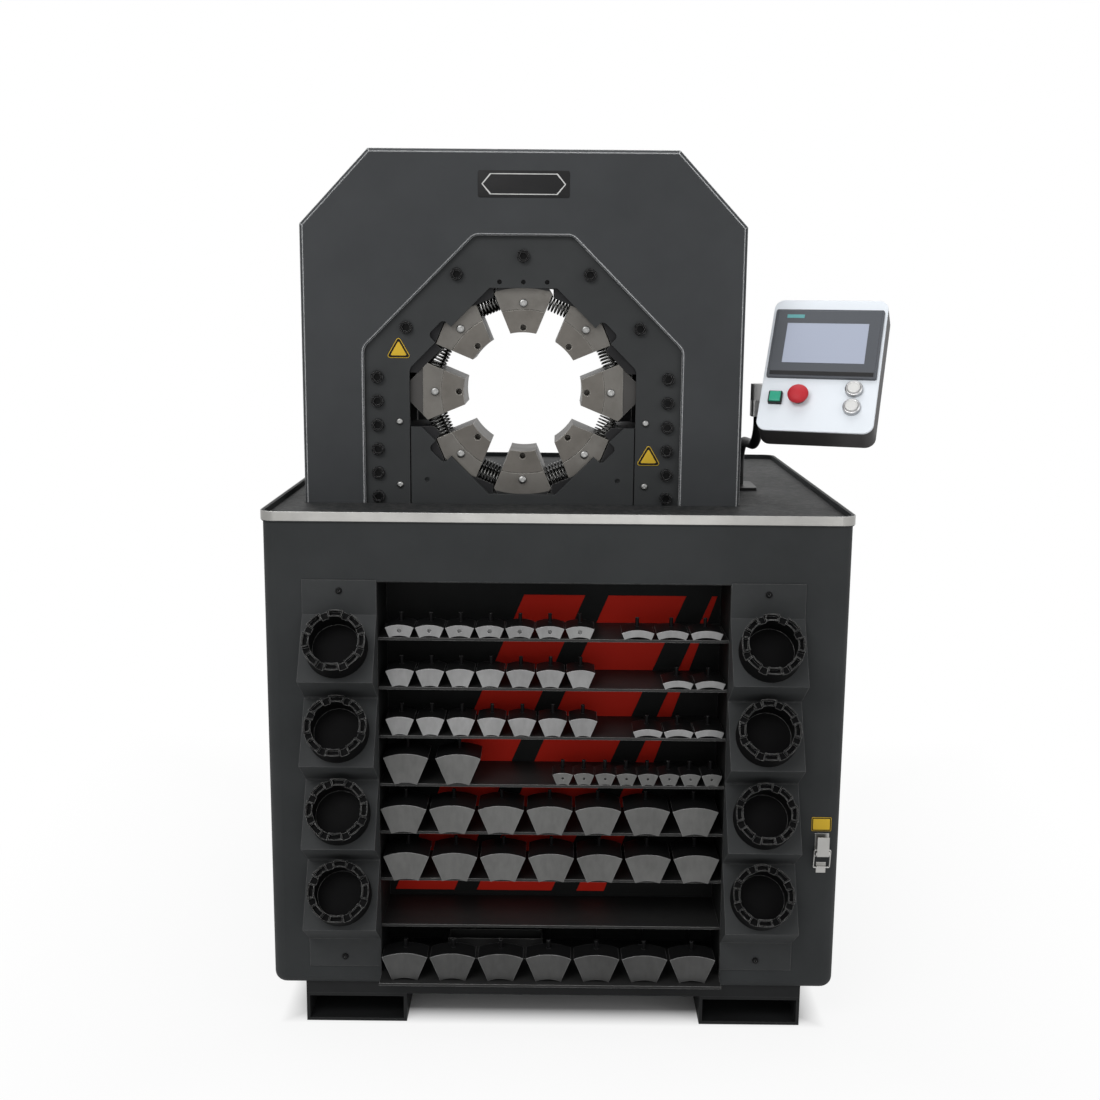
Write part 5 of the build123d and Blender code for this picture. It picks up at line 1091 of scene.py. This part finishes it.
@dataclass
class OperatorPanel:
    """The screen's glass, the button collars and the four buttons, in the panel's own frame.

    Places are measured right and up from the panel's lower left corner. Profiles are pairs of
    radius and height above the panel's face.
    """

    joints: dict[str, dict]
    ear_u: float = 0.050
    ear_v: float = 0.126
    eye_back: float = 0.072
    screen_at: Pair = (0.0055, 0.115)
    screen_size: Pair = (0.209, 0.155)
    screen_proud: float = 0.006
    glass_inset: float = 0.004
    glass_bevel: float = 0.0005
    glass_corners: Pair = (0.003, 0.0028)
    display_up: float = 0.077
    display_half: Pair = (0.0785, 0.045)
    display_thickness: float = 0.0003
    strip_inset: float = 0.006
    strip_up: float = 0.009
    strip_half_height: float = 0.0045
    bar_from_corner: Pair = (0.040, 0.017)
    bar_half: Pair = (0.017, 0.004)
    film: float = 0.0002
    estop: Pair = (0.0735, 0.0734)
    green: Pair = (0.0295, 0.0696)
    rounds: tuple[Pair, Pair] = ((0.1755, 0.0932), (0.1755, 0.0540))
    collar_profile: Profile = ((0.0081, 0.0), (0.014, 0.0), (0.014, 0.0045), (0.0128, 0.006),
                               (0.0081, 0.006), (0.0081, 0.0))
    ring_profile: Profile = (
        (0.01205, 0.0), (0.017, 0.0), (0.017, 0.0055), (0.0162, 0.0078), (0.0145, 0.009),
        (0.0128, 0.009), (0.01205, 0.0082), (0.01205, 0.0))
    mushroom_profile: Profile = (
        (0.008, -0.014), (0.008, 0.0101), (0.0175, 0.0103), (0.0197, 0.0118), (0.02, 0.0140),
        (0.0192, 0.0166), (0.0165, 0.0190), (0.0125, 0.0206), (0.008, 0.0216), (0.004, 0.0221),
        (0.0006, 0.0223))
    cap_profile: Profile = (
        (0.008, -0.014), (0.008, 0.0035), (0.01195, 0.0035), (0.01195, 0.0098),
        (0.0113, 0.0107), (0.0098, 0.011), (0.0092, 0.0104), (0.0006, 0.0104))
    # The square button's bezel: outer and inner half width and corner radius, and its height.
    bezel_outer: Pair = (0.013, 0.002)
    bezel_inner: Pair = (0.01055, 0.0008)
    bezel_height: float = 0.007
    # The square lens from its stem upwards: half width, corner radius and height.
    lens_layers: tuple[tuple[float, float, float], ...] = (
        (0.0055, 0.0054, -0.014), (0.0055, 0.0054, 0.0035), (0.0105, 0.001, 0.0035),
        (0.0105, 0.001, 0.0098), (0.0098, 0.0015, 0.0108), (0.006, 0.002, 0.0113))
    mushroom_sharp_angle: float = 50.0
    small_corner: float = 0.001
    bar_corner: float = 0.0005

    def seat(self, u: float = 0.0, v: float = 0.0, n: float = 0.0) -> Seat:
        """The panel's frame moved to a point on its face: right, up and outwards."""
        tilt = self.joints["panel_tilt_hinge"]
        right = np.array(tilt["axis"], float)
        out = -np.array(self.joints["estop_push"]["axis"], float)
        right /= np.linalg.norm(right)
        out /= np.linalg.norm(out)
        up = np.cross(out, right)
        eye = np.array(tilt["pos_m"], float)
        origin = eye - self.ear_u * right - self.ear_v * up + self.eye_back * out
        return Seat(origin + u * right + v * up + n * out, right, up, out)

    def screen_pieces(self) -> None:
        """A dark glass front with the display, the lower strip and a plain bar."""
        u, v = self.screen_at
        width, height = self.screen_size
        top = self.screen_proud
        face = top + self.glass_bevel
        middle = u + width / 2
        loops = []
        for inset, corner, level in zip((self.glass_inset, self.glass_inset + self.glass_bevel),
                                        self.glass_corners, (0.0, self.glass_bevel)):
            loops.append((rounded_loop(width / 2 - inset, height / 2 - inset, corner), level))
        glass = layered("screen_glass", self.seat(middle, v + height / 2, top), loops)
        dress(glass, Coats.BEZEL, "panel", "grey_plastic")
        display = thin_plate("screen_display", self.seat(middle, v + self.display_up, face),
                             self.display_half, self.small_corner, self.display_thickness)
        dress(display, Coats.DISPLAY, "panel", "grey_plastic")
        strip = thin_plate("screen_lower_strip", self.seat(middle, v + self.strip_up, face),
                           (width / 2 - self.strip_inset, self.strip_half_height),
                           self.small_corner, self.film)
        dress(strip, Coats.GLASS_BLACK, "panel", "grey_plastic")
        across, down = self.bar_from_corner
        bar = thin_plate("screen_status_bar", self.seat(u + across, v + height - down, face),
                         self.bar_half, self.bar_corner, self.film)
        dress(bar, Coats.TEAL, "panel", "grey_plastic")

    def collars(self) -> None:
        """The dark collar, the square bezel and the two bright rings."""
        collar = turned("estop_collar", self.seat(*self.estop), self.collar_profile)
        dress(collar, Coats.DARK_PLASTIC, "panel", "grey_plastic", "button_collars")
        outer, inner = (rounded_loop(half, half, corner)
                        for half, corner in (self.bezel_outer, self.bezel_inner))
        square = frame_strip("green_bezel", self.seat(*self.green), outer, inner, 0.0,
                             self.bezel_height)
        dress(square, Coats.DARK_PLASTIC, "panel", "grey_plastic", "button_collars")
        for name, place in zip(("upper", "lower"), self.rounds):
            ring = turned(f"round_ring_{name}", self.seat(*place), self.ring_profile)
            dress(ring, Coats.RING_METAL, "panel", "grey_plastic", "button_collars")

    def buttons(self) -> None:
        """The red mushroom head, the green lens and the two white caps."""
        head = turned("estop_head", self.seat(*self.estop), self.mushroom_profile,
                      angle=self.mushroom_sharp_angle)
        dress(head, Coats.RED, "estop", "red_plastic", "estop_button")
        lens = layered("green_lens", self.seat(*self.green),
                       [(rounded_loop(half, half, corner), level)
                        for half, corner, level in self.lens_layers])
        dress(lens, Coats.GREEN, "green", "green_plastic", "green_button")
        for name, place in zip(("upper", "lower"), self.rounds):
            cap = turned(f"round_cap_{name}", self.seat(*place), self.cap_profile)
            dress(cap, Coats.WHITE, f"round_{name}", "white_plastic", f"round_button_{name}")

    def build(self) -> None:
        """Make every piece on the panel."""
        self.screen_pieces()
        self.collars()
        self.buttons()


@dataclass(frozen=True)
class Lamp:
    """A soft rectangular lamp aimed at a point."""

    name: str
    at: tuple[float, float, float]
    aim: tuple[float, float, float]
    size: Pair
    watts: float

    def build(self) -> None:
        """Make the lamp and turn it towards its aim."""
        data = bpy.data.lights.new(self.name, "AREA")
        data.shape = "RECTANGLE"
        data.size, data.size_y = self.size
        data.energy = self.watts
        obj = bpy.data.objects.new(self.name, data)
        obj.location = self.at
        look = Vector(self.aim) - Vector(self.at)
        obj.rotation_euler = look.to_track_quat("-Z", "Y").to_euler()
        bpy.context.scene.collection.objects.link(obj)


@dataclass
class Studio:
    """The floor, the lamps, the world and the camera.

    Distances on the floor are in footprints: one is the machine's edge. The floor is in full
    shade inside shade_range, and its white rises from shadow_white to full at shadow_end.
    """

    camera_at: tuple[float, float, float] = (-0.006155, -2.97958, 1.387683)
    yaw: float = 0.003
    pitch: float = -0.180
    roll: float = 0.009
    lens: float = 45.49
    sensor: float = 36.0
    sky: float = 0.35
    floor_half: float = 14.0
    floor_tone: float = 0.8
    footprint: Pair = (0.535, 0.5)
    shade_range: Pair = (0.86, 0.99)
    shadow_end: float = 2.6
    shadow_white: float = 0.88
    lamps: tuple[Lamp, ...] = (
        Lamp("key_lamp", (-1.6, -3.2, 3.6), (0, -0.3, 1.1), (2.6, 1.8), 88.0),
        Lamp("fill_lamp", (2.8, -2.6, 2.4), (0, -0.3, 0.9), (1.8, 2.4), 26.0),
        Lamp("front_lamp", (0.0, -4.2, 1.0), (0, -0.4, 0.7), (3.2, 1.6), 20.0),
        Lamp("top_lamp", (0.0, 0.4, 4.0), (0, -0.1, 1.2), (3.0, 2.0), 60.0))

    def seen(self, canvas: Canvas) -> Socket:
        """One where the camera, gloss or glass looks, and zero where light is gathered."""
        path = canvas.add("LightPath")
        return canvas.maths("MAXIMUM", path.outputs["Is Camera Ray"],
                            canvas.maths("MAXIMUM", path.outputs["Is Glossy Ray"],
                                         path.outputs["Is Transmission Ray"]))

    def world(self) -> None:
        """A white world as seen, and a soft grey one as a light."""
        world = bpy.data.worlds.new("studio_world")
        bpy.context.scene.world = world
        world.use_nodes = True
        canvas = Canvas(world.node_tree)
        out = canvas.add("OutputWorld")
        back = canvas.add("Background")
        back.inputs[0].default_value = (1.0, 1.0, 1.0, 1.0)
        canvas.link(canvas.remap(self.seen(canvas), 0.0, 1.0, self.sky, 1.0), back.inputs[1])
        canvas.link(back.outputs[0], out.inputs[0])

    def floor(self) -> None:
        """A wide pale floor that looks white and keeps the machine's soft shadow.

        The distance is the greater of x and y, each divided by half the footprint.
        """
        line = np.linspace(-self.floor_half, self.floor_half, 3)
        grid = np.zeros((3, 3, 3))
        grid[..., 0] = line[None, :]
        grid[..., 1] = line[:, None]
        obj = grid_mesh("studio_floor", grid)
        material = bpy.data.materials.new("studio_floor_white")
        material.use_nodes = True
        canvas = Canvas(material.node_tree)
        out = canvas.add("OutputMaterial")
        diffuse = canvas.add("BsdfDiffuse")
        diffuse.inputs[0].default_value = rgba((self.floor_tone,) * 3)
        glow = canvas.add("Emission")
        glow.inputs[0].default_value = (1.0, 1.0, 1.0, 1.0)
        place = canvas.split(canvas.add("TexCoord").outputs["Object"])
        reach = canvas.maths("MAXIMUM", *(
            canvas.maths("DIVIDE", canvas.maths("ABSOLUTE", along), half)
            for along, half in zip(place, self.footprint)))
        white = canvas.maths("MULTIPLY", canvas.remap(reach, *self.shade_range),
                             canvas.remap(reach, 1.0, self.shadow_end, self.shadow_white, 1.0))
        blend = canvas.add("MixShader")
        canvas.link(canvas.maths("MULTIPLY", self.seen(canvas), white), blend.inputs[0])
        canvas.link(diffuse.outputs[0], blend.inputs[1])
        canvas.link(glow.outputs[0], blend.inputs[2])
        canvas.link(blend.outputs[0], out.inputs[0])
        obj.data.materials.append(material)

    def camera(self) -> None:
        """The camera at the product view: forward, right and up from yaw, pitch and roll."""
        forward = Vector((-math.sin(self.yaw) * math.cos(self.pitch),
                          math.cos(self.yaw) * math.cos(self.pitch), math.sin(self.pitch)))
        right = Vector((math.cos(self.yaw), math.sin(self.yaw), 0.0))
        up = right.cross(forward)
        cos_r, sin_r = math.cos(self.roll), math.sin(self.roll)
        turn = Matrix((cos_r * right + sin_r * up, -sin_r * right + cos_r * up, -forward))
        data = bpy.data.cameras.new("product_camera")
        data.lens = self.lens
        data.sensor_width = self.sensor
        obj = bpy.data.objects.new("product_camera", data)
        obj.matrix_world = Matrix.Translation(self.camera_at) @ turn.transposed().to_4x4()
        bpy.context.scene.collection.objects.link(obj)
        bpy.context.scene.camera = obj

    def build(self) -> None:
        """Set up the whole studio."""
        self.world()
        self.floor()
        for lamp in self.lamps:
            lamp.build()
        self.camera()
        bpy.context.scene.view_settings.view_transform = "Standard"


def main() -> None:
    """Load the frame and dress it."""
    logging.basicConfig(level=logging.INFO, format="%(message)s")
    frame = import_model()
    joints = {joint["name"]: joint for joint in frame["joints"]}
    Castings().dress(frame["nodes"])
    ReturnSprings().build()
    HeadScrews().build()
    Plates().build()
    OperatorPanel(joints).build()
    Studio().build()


if __name__ == "__main__":
    main()
